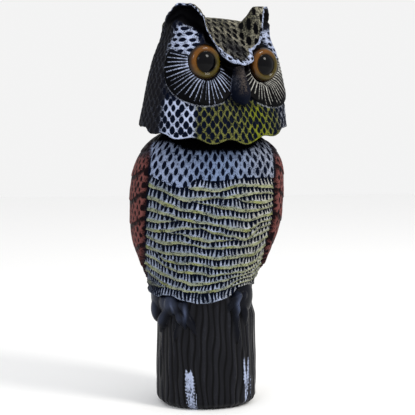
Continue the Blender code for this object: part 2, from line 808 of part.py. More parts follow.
def main():
    for old in list(bpy.data.objects):
        bpy.data.objects.remove(old, do_unlink=True)
    owl = bpy.data.collections.new("owl_decoy")
    cutters = bpy.data.collections.new("cutters")
    bpy.context.scene.collection.children.link(owl)
    bpy.context.scene.collection.children.link(cutters)
    make_body(owl, cutters)
    make_head(owl, cutters)


main()
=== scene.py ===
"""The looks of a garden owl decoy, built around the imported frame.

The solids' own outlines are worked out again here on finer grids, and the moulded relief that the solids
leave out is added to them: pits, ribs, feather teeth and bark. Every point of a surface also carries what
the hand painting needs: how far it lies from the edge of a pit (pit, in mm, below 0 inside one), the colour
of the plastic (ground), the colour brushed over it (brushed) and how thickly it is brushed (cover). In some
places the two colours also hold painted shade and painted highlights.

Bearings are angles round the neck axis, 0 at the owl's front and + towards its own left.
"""

import math

import bpy
import numpy as np
from mathutils import Matrix, Vector


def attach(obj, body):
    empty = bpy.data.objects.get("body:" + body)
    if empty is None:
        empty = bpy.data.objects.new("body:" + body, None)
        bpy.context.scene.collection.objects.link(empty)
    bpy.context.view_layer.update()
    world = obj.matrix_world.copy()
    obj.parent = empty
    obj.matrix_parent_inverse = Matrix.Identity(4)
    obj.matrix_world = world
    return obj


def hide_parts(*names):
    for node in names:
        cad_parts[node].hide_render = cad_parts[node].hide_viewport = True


MM = 0.001
PICTURE = 415

# Camera, as measured from the photograph
CAMERA_AZIMUTH = math.radians(-10)
CAMERA_DISTANCE = 1.05
CAMERA_HEIGHT = 0.265
CAMERA_PITCH = math.radians(-3.63)
FOCAL_PIXELS = 1033
AXIS_PIXEL = 206

# Head pose and neck
HEAD_TURN = math.radians(20)
BOSS_RADIUS = 24 * MM
RECESS_CEILING = 292 * MM
FIT_GAP = 0.3 * MM

# Stump
STUMP_HALF_WIDTH = 50 * MM
STUMP_HALF_DEPTH = 46 * MM
STUMP_FOOT_ROUNDING = 8 * MM
STUMP_TOP = 128 * MM
BARK_GROOVES = 48
BARK_DEPTH = 1.3 * MM
BARK_SWELLS = 24
BARK_SWELL_HEIGHT = 0.6 * MM
STUMP_WAIST = 3 * MM

# Torso sections: height, half width, half depth, sway to the owl's left, lean forward, all in mm
TORSO_SECTIONS = (
    (96, 52, 54, -5, -1),
    (115, 56, 57.5, -6.5, -1.5),
    (127, 58.5, 59, -4.5, -1.2),
    (143, 63.5, 60.2, -3.5, -0.8),
    (159, 69.5, 62, -3.5, 2),
    (176, 74.5, 63.5, -2.5, 5),
    (192, 77, 64, -1.5, 8),
    (214, 77.7, 63, -1, 10),
    (232, 76.7, 60, 0, 11),
    (245, 74, 57, 1, 11),
    (257, 68, 52, 1.5, 10),
    (265, 61, 46, 1.5, 8),
    (271, 53, 38, 1, 6),
    (276, 42, 30, 0.5, 4),
    (280, 26, 22, 0, 0),
)
TORSO_SQUARENESS = 2.15

# Breast: the pale bib on top, then lapping rows of feathers down to a hem over the stump. Edges are points
# of bearing in degrees and height in mm. A row runs out where its lip meets the next one.
BIB_EDGE = (
    (-75, 238), (-60, 231.5), (-50, 227), (-42, 222.8), (-35, 221.2), (-27, 222.5), (-23, 228),
    (-20, 229.3), (-10, 228), (0, 227.3), (10, 229), (30, 230.5), (60, 230),
)
BIB_THICKNESS = 1.4 * MM
LIP_BEARINGS = (-75, -60, -45, -30, -15, 0, 15, 30, 45, 60, 75)
ROW_LIPS = (
    (240, 235, 226, 221.5, 217.6, 217.6, 220.8, 221.7, 221, 218.5, 218),
    (224, 220.5, 215.8, 209, 208.7, 211.2, 211.2, 213, 215.3, 213.5, 213),
    (224, 220.5, 215.8, 209, 208.7, 211.2, 211.2, 205.6, 205, 209, 210),
    (224, 220.5, 215.8, 209, 205.8, 201.8, 199.6, 196.7, 199.3, 203, 204),
    (212, 209.5, 203.2, 199, 196.5, 191.2, 191.3, 188.2, 191.4, 194.5, 196),
    (200, 198.3, 194.1, 189.7, 187.2, 184, 180, 178.2, 185.8, 189, 190),
    (189, 188, 187.2, 189.7, 187.2, 184, 180, 178.2, 185.8, 189, 190),
    (181, 179, 177.9, 180.3, 182.2, 176, 173, 170, 180.5, 184, 185),
    (181, 179, 177.9, 175, 170.2, 168.7, 169.5, 170, 174, 178, 179),
    (174, 170.5, 166, 166, 163.8, 162, 161.3, 162.5, 164.3, 171, 173),
    (161, 159, 156.4, 155, 153.7, 151.3, 150.9, 152.2, 153.8, 161.5, 163),
    (161, 159, 148.5, 146.4, 144.8, 142.6, 141.5, 142.4, 144.8, 151.5, 155),
    (153.5, 149.5, 141.7, 138, 136.5, 133.7, 136.5, 136, 139.5, 146, 148),
    (142.5, 136.8, 132, 128.9, 125, 126.5, 130.5, 133, 135, 140, 142),
    (134, 129, 122.2, 120, 118.7, 117.6, 121.2, 129, 131, 134, 136),
    (122, 122.5, 122.2, 120, 118.7, 117.6, 121.2, 125, 127, 129, 130),
)
ROW_STEP = 2.1 * MM
ROW_RIPPLE = 0.5 * MM
BREAST_HEM = (
    (-180, 118), (-110, 116), (-78, 114), (-60, 112.2), (-50, 114.9), (-40, 115), (-30, 111.3),
    (-20, 109.6), (-12, 107.8), (0, 108.2), (10, 110.4), (20, 113.1), (26, 116), (31, 122.5),
    (45, 124), (60, 122), (110, 120), (180, 118),
)

# Wings: height in mm and the front edge's bearing there in degrees, on the owl's left and right
LEFT_WING_EDGE = (
    (112, 118), (126, 104), (136, 86), (142, 76), (150, 69), (160, 64), (175, 61.5), (214, 61),
    (235, 62), (250, 66), (262, 76), (272, 100),
)
RIGHT_WING_EDGE = (
    (112, 122), (126, 112), (136, 100), (142, 92), (150, 80), (160, 72), (175, 68), (214, 66),
    (235, 66.5), (250, 70), (262, 80), (272, 102),
)
WING_THICKNESS = 3.6 * MM
WING_GROOVE = 1.6 * MM
WING_BAND_PITCH = 24 * MM
WING_BAND_STEP = 0.7 * MM
WING_FOLD = math.radians(9)

# Tail on the back of the stump
TAIL_HALF_WIDTH = 27 * MM
TAIL_TIP = 62 * MM
TAIL_THICKNESS = 9 * MM

# Feet: each toe runs from (bearing, height) to (bearing, height), with its half width and thickness
TOES = (
    ((-50, 109), (-74, 76), 6.5, 9),
    ((-47, 107), (-35, 82), 5.5, 8),
    ((-44, 88), (-50, 66), 2.6, 3.5),
    ((-38, 106), (-22, 76), 4.5, 6),
    ((26, 112), (18, 98), 4.5, 5),
    ((28, 114), (27, 90), 4.5, 8),
    ((27.5, 92), (31, 66), 3.2, 5),
    ((38, 114), (44, 84), 6.0, 5),
)
# The feathered legs: bearing in degrees, height, half width, half height and thickness in mm
LEGS = ((-56, 106, 16, 13, 8), (-84, 110, 20, 17, 8), (-82, 98, 10, 15, 9), (44, 112, 17, 16, 5))
# Strands of the white streaks on the bark: points of height in mm, bearing and half width in degrees
STREAKS = (
    ((0, -27.3, 5.2), (15, -28.6, 4.8), (24, -29, 5.5), (33, -29.8, 4.8), (37, -30.4, 2.4), (38.5, -30.4, 0)),
    ((30, -32.5, 2.5), (38, -33.4, 1.6), (42.5, -33.7, 0)),
    ((30, -27.5, 3.5), (37, -28, 2.3), (41.5, -28.2, 0)),
    ((0, -21.4, 0.6), (16, -21.7, 0.5), (20, -21.8, 0)),
    ((4, 44.6, 0.5), (14, 43.5, 1.6), (30, 41, 1.7), (44, 40.3, 1.2), (53, 40, 0)),
    ((2, 44.2, 0.6), (14, 46.5, 1.2), (25, 46.8, 2.1), (40, 47.3, 1.5), (54, 48.5, 0)),
    ((10, 43.4, 0.4), (18, 43.6, 2.4), (28, 43.4, 3), (34, 43.2, 1.4), (38, 43, 0)),
    ((6, 54, 0.4), (26, 53, 0.7), (36, 53, 0)),
)

# Painted highlights on the feet: bearing in degrees, height in mm, spread in degrees and in mm
FOOT_HIGHLIGHT_SPOTS = (
    (27.5, 106, 2, 9),
    (-33.5, 97, 1.8, 9),
    (-47, 104, 2, 6),
)

# Head sections: height, half width, depth to the face, depth to the nape, squareness of the face, in mm
HEAD_FORWARD = 13 * MM
HEAD_SECTIONS = (
    (255, 79, 66, 66, 2.4),
    (281, 76, 62, 62, 2.5),
    (306, 71.5, 54, 55, 2.9),
    (326, 68, 50, 50, 3.4),
    (346, 63, 47, 44, 3.8),
    (371, 53.5, 40, 37, 3.8),
    (400, 46, 36, 26, 3.4),
)
# The front edge of the crown: brow, ear tufts and nape, as height in mm against bearing in degrees
CROWN_EDGE = (
    (0, 340), (13, 343.5), (24, 354), (34, 366), (41, 378), (48, 391), (56, 399), (65, 400),
    (74, 392), (88, 379), (106, 373), (125, 370), (180, 368),
)
# How much higher the edge lies on the owl's right
RIGHT_EAR_RISE = (
    (-85, 0), (-75, -1.5), (-60, -3), (-50, 0.5), (-44, 4), (-40.5, 8), (-37, 3), (-30, 1.8),
    (-20, 0),
)
CROWN_HEIGHT = 390.5 * MM
CROWN_ROUNDING = 4 * MM
FOREHEAD_SLOPE = 0.84
BROW_VISOR = 13 * MM
BROW_ROLL = 3.5 * MM
BROW_LIP = 4.2 * MM
EAR_ROOT = 366 * MM
EAR_ROOT_RAMP = 22 * MM
EAR_TUFT_BEARING = 61
EAR_TUFT_WIDTH = 27
EAR_FLARE = 8 * MM
EAR_WALL_BEARING = 76
EAR_WALL_WIDTH = 18
EAR_HOLLOW_BEARING = 52
EAR_HOLLOW_WIDTH = 14
EAR_HOLLOW_DEPTH = 12 * MM
EAR_HOLLOW_HEIGHT = 30 * MM
BROW_UNDERCUT = 6 * MM
# The lower edge of the head, before its lobes: bearing in degrees and height in mm
HEM_HEIGHT = (
    (-180, 284), (-122, 283), (-95, 282), (-90, 282), (-85, 277), (-80, 272), (-75, 270.7),
    (-70, 273), (-65, 273.5), (-60, 271), (-50, 267.5), (-45, 267), (-28, 265), (-5, 265),
    (8, 265.5), (15, 267.5), (20, 270.5), (25, 272.4), (30, 273.4), (36, 273.7), (42, 276.2),
    (48, 277.7), (52, 280), (60, 283.2), (75, 284), (90, 286), (120, 286), (180, 284),
)
HEM_LOBES = 12
HEM_LOBE_DEPTH = 4.5 * MM
SKIRT_WALL = 5 * MM
SKIRT_TUCK = 2 * MM

# Face
EYE_SIDE = 33.4 * MM
EYE_FRONT = 55.6 * MM
EYE_HEIGHT = 340.5 * MM
EYE_TURN = math.radians(4)
EYE_RADIUS = 16.8 * MM
PUPIL_RADIUS = 10.2 * MM
EYE_DEPTH = 7 * MM
EYE_SEAT_SINK = 0.5 * MM
EYE_SEAT_MARGIN = 6 * MM
RING_BULGE = 2.8 * MM
RING_CREST = 1.5 * MM
PUPIL_BULGE = 4 * MM
DISC_RADIUS = 41.5 * MM
DISC_BEARING = math.radians(35.6)
DISC_SPREAD = 65 * MM
DISC_DISH = 3.4 * MM
DISC_RIM = 1.8 * MM
DISC_RIBS = 49
BEAK_ROOT = 340 * MM
BEAK_TIP = 300 * MM
BEAK_FRONT = 78 * MM
BEAK_HALF_WIDTH = 9 * MM
BEAK_HOLLOW = 4 * MM

# Depth of the finer relief
PIT_DEPTH = 1.0 * MM
TOOTH_DEPTH = 1.1 * MM
RIB_HEIGHT = 0.8 * MM

# Fineness of the grids: spans of bearing in degrees with the columns in each, and rows
HEAD_SPANS = ((-180, -112, 30), (-112, 100, 322), (100, 180, 34))
HEAD_CROWN_ROWS = 62
HEAD_FACE_ROWS = 160
TORSO_SPANS = ((-180, -105, 26), (-105, -68, 34), (-68, 68, 272), (68, 105, 34), (105, 180, 26))
TORSO_ROWS = 232
STUMP_SPANS = ((-180, -110, 50), (-110, 80, 230), (80, 180, 70))
STUMP_ROWS = 136

# Paint, as sRGB values of 0 to 255
CHARCOAL = (19, 19, 23)
NEAR_BLACK = (4, 4, 6)
NAVY = (3, 8, 24)
LAVENDER_WHITE = (166, 176, 203)
GREY_WHITE = (138, 143, 156)
BIB_BLUE = (108, 124, 155)
TOOTH_GREY = (116, 126, 142)
CREAM = (184, 178, 154)
YELLOW_GREEN = (106, 113, 28)
LIP_GREEN = (122, 126, 70)
LIP_EDGE = (150, 152, 118)
OLIVE = (98, 96, 66)
KHAKI = (126, 123, 112)
SIDE_GREY = (52, 55, 66)
BRICK = (112, 67, 64)
BRICK_DARK = (20, 12, 15)
BEAK_BROWN = (74, 67, 63)
BEAK_NAVY = (11, 15, 26)
FEET_BLUE = (9, 11, 19)
BARK_BLACK = (10, 10, 13)
# Painted sheen for the bark's ridges
BARK_RIDGE_SHEEN = (35, 36, 42)
# Painted highlight colour for the feet
FOOT_HIGHLIGHT_COLOUR = (66, 74, 96)
AMBER = (94, 56, 6)
AMBER_OLIVE = (62, 52, 5)
AMBER_DARK = (26, 13, 4)

# Staggered pits: radius of their chart, pits all round it, row pitch, half width and half height of each
CROWN_PITS = (50 * MM, 44, 6.6 * MM, 2.1 * MM, 3.2 * MM)
CHEEK_PITS = (68 * MM, 54, 5.3 * MM, 2.4 * MM, 3.9 * MM)
PATCH_PITS = (60 * MM, 40, 5.4 * MM, 3.9 * MM, 2.05 * MM)
BIB_PITS = (76 * MM, 42, 6.4 * MM, 2.5 * MM, 4 * MM)
WING_PITS = (76 * MM, 60, 5.6 * MM, 1.9 * MM, 3 * MM)
PIT_JITTER = (0.14, 0.24)

# Smaller patterns
TEETH_AROUND = 92
TEETH_CHART = 66 * MM
BROW_PIT_PITCH = 6.6 * MM
EYE_COLUMNS = 96
PAINT_ROUGHNESS = 0.65

# Studio: each light has a place, size, power and tint
FLOOR_SIZE = 8
FLOOR_WHITE = (250, 250, 250)
WORLD_STRENGTH = 0.9
LIGHTS_AIM = (0, 0, 0.2)
KEY_LIGHT = ((1.15, -1.15, 1.7), 0.6, 26, (1.0, 0.98, 0.93))
FILL_LIGHT = ((-0.9, -1.4, 1.2), 0.6, 5, (0.82, 0.9, 1.0))


def smoothstep(low, high, value):
    """0 below low, 1 above high and a smooth ramp between them."""
    share = np.clip((value - low) / (high - low), 0, 1)
    return share * share * (3 - 2 * share)


def fade(low, high, value):
    """1 below low, 0 above high and a smooth ramp between them."""
    return 1 - smoothstep(low, high, value)


def bump(value, centre, width):
    """A bell curve of height 1."""
    return np.exp(-(((value - centre) / width) ** 2))


def curve_through(points, value):
    """A smooth curve through (x, y) points that never overshoots them."""
    xs, ys = np.array(points, float).T
    slopes = np.diff(ys) / np.diff(xs)
    product = slopes[:-1] * slopes[1:]
    same_way = product > 0
    total = np.where(same_way, slopes[:-1] + slopes[1:], 1)
    tangents = np.concatenate([[slopes[0]], np.where(same_way, 2 * product / total, 0), [slopes[-1]]])
    value = np.clip(value, xs[0], xs[-1])
    i = np.clip(np.searchsorted(xs, value, side="right") - 1, 0, len(xs) - 2)
    width = xs[i + 1] - xs[i]
    t = (value - xs[i]) / width
    start = (1 + 2 * t) * (1 - t) ** 2 * ys[i] + t * (1 - t) ** 2 * width * tangents[i]
    end = t * t * (3 - 2 * t) * ys[i + 1] + t * t * (t - 1) * width * tangents[i + 1]
    return start + end


def column(sections, index):
    """One column of a table of sections, as (height, value) points."""
    return [(row[0], row[index]) for row in sections]


def section_radius(bearing, half_width, half_depth, squareness):
    """Distance from the middle of a rounded section to its edge."""
    side = np.abs(np.sin(bearing)) / half_width
    front = np.abs(np.cos(bearing)) / half_depth
    return (side**squareness + front**squareness) ** (-1 / squareness)


def spread_bearings(spans):
    """Bearings in radians for the columns of a grid, from spans of (from, to, columns)."""
    return np.radians(np.concatenate([np.linspace(a, b, n, endpoint=False) for a, b, n in spans]))


# Patterns


def scatter(row, place, seed):
    """A repeatable number from 0 to 1 for one cell of a lattice."""
    return np.modf(np.abs(np.sin(row * 12.9898 + place * 78.233 + seed * 37.719)) * 43758.5453)[0]


def lozenges(bearing, up, pits, seed):
    """Signed distance to the nearest of staggered lozenge pits, below 0 inside one."""
    radius, around, row_pitch, half_width, half_height = pits
    pitch = 2 * math.pi / around
    nearest = np.full(np.broadcast(bearing, up).shape, 1e3)
    nearest_row = np.round(up / row_pitch)
    for step in (-1, 0, 1):
        row = nearest_row + step
        stagger = 0.5 * (row % 2)
        place = np.round(bearing / pitch - stagger)
        cell = place % around
        centre = (place + stagger + PIT_JITTER[0] * (scatter(row, cell, seed) - 0.5)) * pitch
        level = (row + PIT_JITTER[1] * (scatter(row, cell, seed + 1) - 0.5)) * row_pitch
        size = 0.82 + 0.3 * scatter(row, cell, seed + 2)
        across = np.abs(bearing - centre) * radius / (half_width * size)
        tall = np.abs(up - level) / (half_height * size)
        nearest = np.minimum(nearest, (across**1.6 + tall**1.6) ** (1 / 1.6))
    return (nearest - 1) * min(half_width, half_height)


def swirl(bearing, height, seed):
    """Smooth noise from -1 to 1 over a surface, some 15 mm from crest to crest."""
    u = bearing * 70 * MM
    first = np.sin(u / (5.1 * MM) + 1.7 * np.sin(height / (9 * MM) + seed) + seed)
    second = np.sin(height / (4.3 * MM) + 1.9 * np.sin(u / (8 * MM) + 2 * seed) + 3 * seed)
    return 0.5 * (first + second)


# Body outline


def bark(bearing, height):
    """Ridges and V grooves of the stump, from -1 in a groove to 0 on a ridge."""
    waver = 0.022 * np.sin(height / (17 * MM) + 3 * bearing)
    waver += 0.014 * np.sin(height / (7 * MM) + 11 * bearing)
    phase = (bearing + waver) * BARK_GROOVES / 2 + 0.4 * np.sin(2 * bearing + height / (38 * MM))
    return -((1 - np.abs(np.sin(phase))) ** 1.6)


def toe_relief(bearing, height, radius):
    """Height of the toes and claws above the stump."""
    relief = np.zeros_like(bearing)
    for start, end, half_width, thickness in TOES:
        run = (np.radians(end[0] - start[0]) * radius, (end[1] - start[1]) * MM)
        across = (bearing - math.radians(start[0])) * radius
        up = height - start[1] * MM
        length_squared = run[0] ** 2 + run[1] ** 2
        along = np.clip((across * run[0] + up * run[1]) / length_squared, 0, 1)
        distance = np.hypot(across - along * run[0], up - along * run[1])
        knuckle = 1 + 0.16 * np.cos(along * 9.4)
        taper = (1 - 0.62 * along**2.5) * knuckle
        round_top = np.sqrt(np.clip(1 - (distance / (half_width * MM * taper)) ** 2, 0, 1))
        relief = np.maximum(relief, thickness * MM * taper * round_top)
    for at, level, width, tall, thickness in LEGS:
        across = (bearing - math.radians(at)) * radius / (width * MM)
        up = (height - level * MM) / (tall * MM)
        relief = np.maximum(relief, thickness * MM * np.sqrt(np.clip(1 - across**2 - up**2, 0, 1)))
    return relief


def tail_relief(bearing, height):
    """The folded tail that lies down the back of the stump."""
    across = np.sin(bearing) * STUMP_HALF_WIDTH
    behind = np.cos(bearing) < 0
    tip = TAIL_TIP + 12 * MM * (across / TAIL_HALF_WIDTH) ** 2
    side = fade(TAIL_HALF_WIDTH - 3 * MM, TAIL_HALF_WIDTH, np.abs(across))
    quills = 1 - 0.16 * np.abs(np.sin(across / TAIL_HALF_WIDTH * math.pi * 1.5))
    return np.where(behind, TAIL_THICKNESS * quills * side * smoothstep(tip, tip + 4 * MM, height), 0)


def breast_hem(bearing):
    """Height of the lowest breast feathers, where the stump comes out."""
    return curve_through(BREAST_HEM, np.degrees(bearing)) * MM


def bib_edge(bearing):
    return curve_through(BIB_EDGE, np.degrees(bearing)) * MM


def feather_row(bearing, height):
    """The breast row a point lies in: its number, how far down it the point lies and the row's height."""
    ripple = np.sin(9 * bearing + height / (11 * MM)) + 0.6 * np.sin(21 * bearing - height / (8 * MM))
    level = height + ROW_RIPPLE * ripple
    top = np.maximum(bib_edge(bearing), level)
    number = np.zeros_like(level)
    down = np.zeros_like(level)
    tall = np.full_like(level, MM)
    degrees = np.degrees(bearing)
    lips = [curve_through(list(zip(LIP_BEARINGS, row)), degrees) * MM for row in ROW_LIPS]
    for row, lip in enumerate([*lips, breast_hem(bearing) - MM]):
        lip = np.minimum(lip, top)
        inside = (level <= top) & (level > lip)
        number = np.where(inside, row, number)
        tall = np.where(inside, top - lip, tall)
        down = np.where(inside, (top - level) / np.maximum(tall, 0.01 * MM), down)
        top = lip
    return number, down, tall


def wing_edge(bearing, height):
    left = curve_through(LEFT_WING_EDGE, height / MM)
    right = curve_through(RIGHT_WING_EDGE, height / MM)
    return np.radians(np.where(bearing < 0, right, left))


def wing_band(bearing, height):
    """Counts the bands of covert feathers from the bottom of the wing up."""
    return (height + 9 * MM * np.cos(np.abs(bearing) * 4)) / WING_BAND_PITCH


def breast_relief(bearing, height):
    """Lapping rows: each is thickest at its lower edge, where it steps down to the next."""
    _, down, tall = feather_row(bearing, height)
    lap = ROW_STEP * (down**1.4 - 0.5) * smoothstep(1 * MM, 5 * MM, tall)
    return np.where(height > bib_edge(bearing), BIB_THICKNESS, lap)


def wing_relief(bearing, height):
    """Bands of covert feathers over long flight feathers, with the fold where the wings meet behind."""
    side = np.abs(bearing)
    band = wing_band(bearing, height)
    coverts = WING_BAND_STEP * ((np.ceil(band) - band) ** 1.5 - 0.5)
    quills = 1.1 * MM * (np.abs(np.sin((side - 1.2) * 11)) ** 0.6 - 0.6)
    low = fade(168 * MM, 196 * MM, height)
    fold = 4 * MM * bump(math.pi - side, 0, WING_FOLD) * fade(235 * MM, 268 * MM, height)
    return coverts * (1 - low * 0.6) + quills * low - fold


def past_wing_edge(bearing, height):
    """Distance behind the front edge of the wing, below 0 on the breast."""
    half_width = curve_through(column(TORSO_SECTIONS, 1), height / MM) * MM
    return (np.abs(bearing) - wing_edge(bearing, height)) * half_width


def torso_radius(bearing, height):
    level = height / MM
    half_width = curve_through(column(TORSO_SECTIONS, 1), level) * MM
    half_depth = curve_through(column(TORSO_SECTIONS, 2), level) * MM
    outer = section_radius(bearing, half_width, half_depth, TORSO_SQUARENESS)
    past_edge = past_wing_edge(bearing, height)
    winged = smoothstep(-1.2 * MM, 1.2 * MM, past_edge)
    below_shoulder = fade(262 * MM, 274 * MM, height)
    groove = WING_GROOVE * bump(past_edge, -2.5 * MM, 2.2 * MM)
    breast = breast_relief(bearing, height) - WING_THICKNESS - groove
    wing = wing_relief(bearing, height)
    return outer + (breast * (1 - winged) + wing * winged) * below_shoulder


# Head outline


def crown_edge(bearing):
    degrees = np.degrees(bearing)
    return (curve_through(CROWN_EDGE, np.abs(degrees)) + curve_through(RIGHT_EAR_RISE, degrees)) * MM


def hem_height(bearing):
    """The scalloped lower edge of the head."""
    lobes = 0.5 + 0.5 * np.cos(bearing * HEM_LOBES)
    return curve_through(HEM_HEIGHT, np.degrees(bearing)) * MM + HEM_LOBE_DEPTH * (0.5 - lobes)


def plain_head_radius(bearing, height):
    level = height / MM
    half_width, to_face, to_nape, squareness = (
        curve_through(column(HEAD_SECTIONS, i), level) * (MM if i < 4 else 1) for i in range(1, 5)
    )
    face = section_radius(bearing, half_width, to_face, squareness)
    nape = section_radius(bearing, half_width, to_nape, 2.1)
    tuck = SKIRT_TUCK * bump(np.degrees(bearing), 75, 35) * fade(280 * MM, 315 * MM, height)
    return np.where(np.cos(bearing) > 0, face, nape) - tuck


def disc_place(bearing, height):
    """Distance from the nearer eye over the face, and the angle there (0 outwards, + upwards)."""
    side = (np.abs(bearing) - DISC_BEARING) * DISC_SPREAD
    up = height - EYE_HEIGHT
    return np.hypot(side, up), np.arctan2(up, side)


def disc_share(angle):
    """1 where a facial disc shows, below the brow and beside the eye, 0 in the patch over the eye."""
    return fade(math.radians(8), math.radians(28), angle)


def eye_seat(bearing):
    """Radius of the flat seat that an eye rests on."""
    slant = math.tan(EYE_TURN)
    reach = EYE_FRONT - HEAD_FORWARD + EYE_SIDE * slant
    return reach / np.maximum(np.cos(bearing) + np.abs(np.sin(bearing)) * slant, 0.2)


def ear_flare(bearing, height):
    """The outer wall of each ear, which stands out from the side of the head."""
    side = np.degrees(np.abs(bearing))
    above_root = smoothstep(EAR_ROOT, EAR_ROOT + EAR_ROOT_RAMP, height)
    return EAR_FLARE * bump(side, EAR_WALL_BEARING, EAR_WALL_WIDTH) * above_root


def brow_visor(bearing):
    """How far the rim of the crown stands out, most of all over the beak."""
    side = np.degrees(np.abs(bearing))
    rim = 1.2 * MM * fade(90, 115, side)
    return BROW_VISOR * bump(side, 0, 14) + BROW_ROLL * bump(side, 28, 16) + rim


def face_relief(bearing, height):
    """Brow and ear rims with the hollows under them, the facial discs and the dips beside the beak."""
    side = np.degrees(np.abs(bearing))
    distance, angle = disc_place(bearing, height)
    shows = disc_share(angle) * (side < 100)
    inside = fade(DISC_RADIUS - 0.8 * MM, DISC_RADIUS + 0.8 * MM, distance)
    dish = DISC_RIM - (DISC_DISH + DISC_RIM) * np.clip(1 - (distance / DISC_RADIUS) ** 2, 0, 1)
    beside_beak = smoothstep(BEAK_TIP - 4 * MM, BEAK_TIP + 6 * MM, height)
    dip = BEAK_HOLLOW * bump(side, 0, 15) * beside_beak
    ear = bump(side, EAR_HOLLOW_BEARING, EAR_HOLLOW_WIDTH)
    under = crown_edge(bearing) - height
    lip = fade(BROW_LIP * 0.6, BROW_LIP * 1.2, under)
    depth = (BROW_UNDERCUT + (EAR_HOLLOW_DEPTH - BROW_UNDERCUT) * ear) * fade(66, 84, side)
    reach = 12 * MM + (EAR_HOLLOW_HEIGHT - 12 * MM) * ear
    hollow = depth * (1 - lip) * fade(reach * 0.5, reach, under) * smoothstep(2, 16, side)
    return brow_visor(bearing) * lip + ear_flare(bearing, height) + dish * inside * shows - dip - hollow


def face_radius(bearing, height):
    """The head without its beak, with a flat seat for each eye."""
    face = plain_head_radius(bearing, height) + face_relief(bearing, height)
    distance = disc_place(bearing, height)[0]
    round_eye = fade(EYE_RADIUS, EYE_RADIUS + EYE_SEAT_MARGIN, distance)
    return face + (eye_seat(bearing) - EYE_SEAT_SINK - face) * round_eye


def beak_radius(height):
    """Depth of the beak's ridge below the brow, and its half width there."""
    along = (BEAK_ROOT - height) / (BEAK_ROOT - BEAK_TIP)
    root_slope = 7 * MM * fade(0, 0.75, along)
    tip_hook = 3 * MM * smoothstep(0.8, 1.05, along)
    ridge = BEAK_FRONT - HEAD_FORWARD - root_slope - tip_hook
    swell = 0.32 + 0.68 * smoothstep(0.05, 0.8, along)
    point = np.sqrt(np.clip(1.06 - along**6, 0.02, 1))
    return ridge, BEAK_HALF_WIDTH * swell * point


def beak_share(bearing, height):
    """The face's radius, the radius with the beak, and 1 where the beak stands out of the face."""
    face = face_radius(bearing, height)
    ridge, half_width = beak_radius(height)
    across = np.sin(bearing) * face
    beak = ridge - 9 * MM * (np.abs(across) / half_width) ** 2.2
    on_beak = (height > BEAK_TIP) & (height < BEAK_ROOT) & (np.abs(bearing) < math.radians(25))
    return face, np.where(on_beak, np.maximum(face, beak), face), on_beak & (beak > face)


def head_radius(bearing, height):
    """The head below the crown's edge."""
    return beak_share(bearing, height)[1]


def crown_top(bearing, radius):
    """The forehead's slope from the brow up to the level crown."""
    brow_front = head_radius(np.zeros(1), crown_edge(np.zeros(1)))[0]
    slope = crown_edge(np.zeros(1))[0] + (brow_front - radius * np.cos(bearing)) * FOREHEAD_SLOPE
    level = np.exp(-CROWN_HEIGHT / CROWN_ROUNDING)
    return -CROWN_ROUNDING * np.log(level + np.exp(-slope / CROWN_ROUNDING))


def crown_point(bearing, inward):
    """Radius and height of the crown's top, from its edge (inward 0) to the middle (inward 1)."""
    edge = crown_edge(bearing)
    side = np.degrees(np.abs(bearing))
    edge_radius = head_radius(bearing, edge)
    radius = edge_radius * (1 - inward)
    ear = bump(side, EAR_TUFT_BEARING, EAR_TUFT_WIDTH)
    behind_brow = fade(0.04, 0.45, inward)
    behind_ear = fade(0.1, 0.62, inward)
    dome = 1 - (1 - (1 - inward) ** 3) ** (1 / 3)
    lift = edge - crown_top(bearing, edge_radius)
    raised = np.where(lift > 0, behind_brow * (1 - ear) + behind_ear * ear, dome)
    top = crown_top(bearing, radius)
    return radius, np.minimum(top + lift * raised, np.maximum(edge, top))


# Grids and meshes


def linear(colour):
    """An sRGB colour of 0 to 255 as linear values."""
    share = np.array(colour, float) / 255
    return np.where(share <= 0.04045, share / 12.92, ((share + 0.055) / 1.055) ** 2.4)


class Paint:
    """What the painting needs at every point of a grid."""

    def __init__(self, shape, ground):
        self.pit = np.full(shape, 3.0)
        self.cover = np.zeros(shape)
        self.ground = np.empty((*shape, 3))
        self.ground[:] = linear(ground)
        self.brushed = self.ground.copy()

    def brush(self, share, colour, cover):
        """Lays a brushed colour and its thickness where share is above 0."""
        share = np.broadcast_to(share, self.cover.shape)
        self.brushed += (linear(colour) - self.brushed) * share[..., None]
        self.cover += (cover - self.cover) * share

    def tint(self, share, colour):
        """Changes the ground colour where share is above 0."""
        share = np.broadcast_to(share, self.cover.shape)
        self.ground += (linear(colour) - self.ground) * share[..., None]

    def pits(self, share, distance):
        """Takes over a pattern of pits, given as signed distances in metres, where share is over a half."""
        self.pit = np.where(np.broadcast_to(share, self.pit.shape) > 0.5, distance / MM, self.pit)


def join_paint(parts):
    """One Paint for a grid made of several parts below each other."""
    joined = Paint((0, parts[0].cover.shape[1]), NEAR_BLACK)
    for key in ("pit", "cover", "ground", "brushed"):
        setattr(joined, key, np.concatenate([getattr(part, key) for part in parts]))
    return joined


def around_axis(radius, bearing, height, sideways=0, forward=0):
    """A grid of points from their radius, bearing and height round an axis moved off the neck's."""
    x = sideways + radius * np.sin(bearing)
    y = -forward - radius * np.cos(bearing)
    return np.stack(np.broadcast_arrays(x, y, height), axis=2)


def profile_grid(around, profile):
    """Radius, bearing and height all over a grid, from its rows of (radius, height)."""
    radius = np.array([row[0] for row in profile])
    height = np.array([row[1] for row in profile])
    return radius, np.broadcast_to(around, radius.shape), height


def grid_normals(points):
    """Outward normals of a grid of points whose rows run down and whose columns run round."""
    down = np.gradient(points, axis=0)
    along = (np.roll(points, -1, axis=1) - np.roll(points, 1, axis=1)) / 2
    normals = np.cross(down, along)
    length = np.linalg.norm(normals, axis=2, keepdims=True)
    return normals / np.maximum(length, 1e-12)


def blur(values):
    """Averages a grid with its neighbours once."""
    tall = np.pad(values, ((1, 1), (0, 0)), mode="edge")
    values = (tall[:-2] + 2 * tall[1:-1] + tall[2:]) / 4
    return (np.roll(values, 1, axis=1) + 2 * values + np.roll(values, -1, axis=1)) / 4


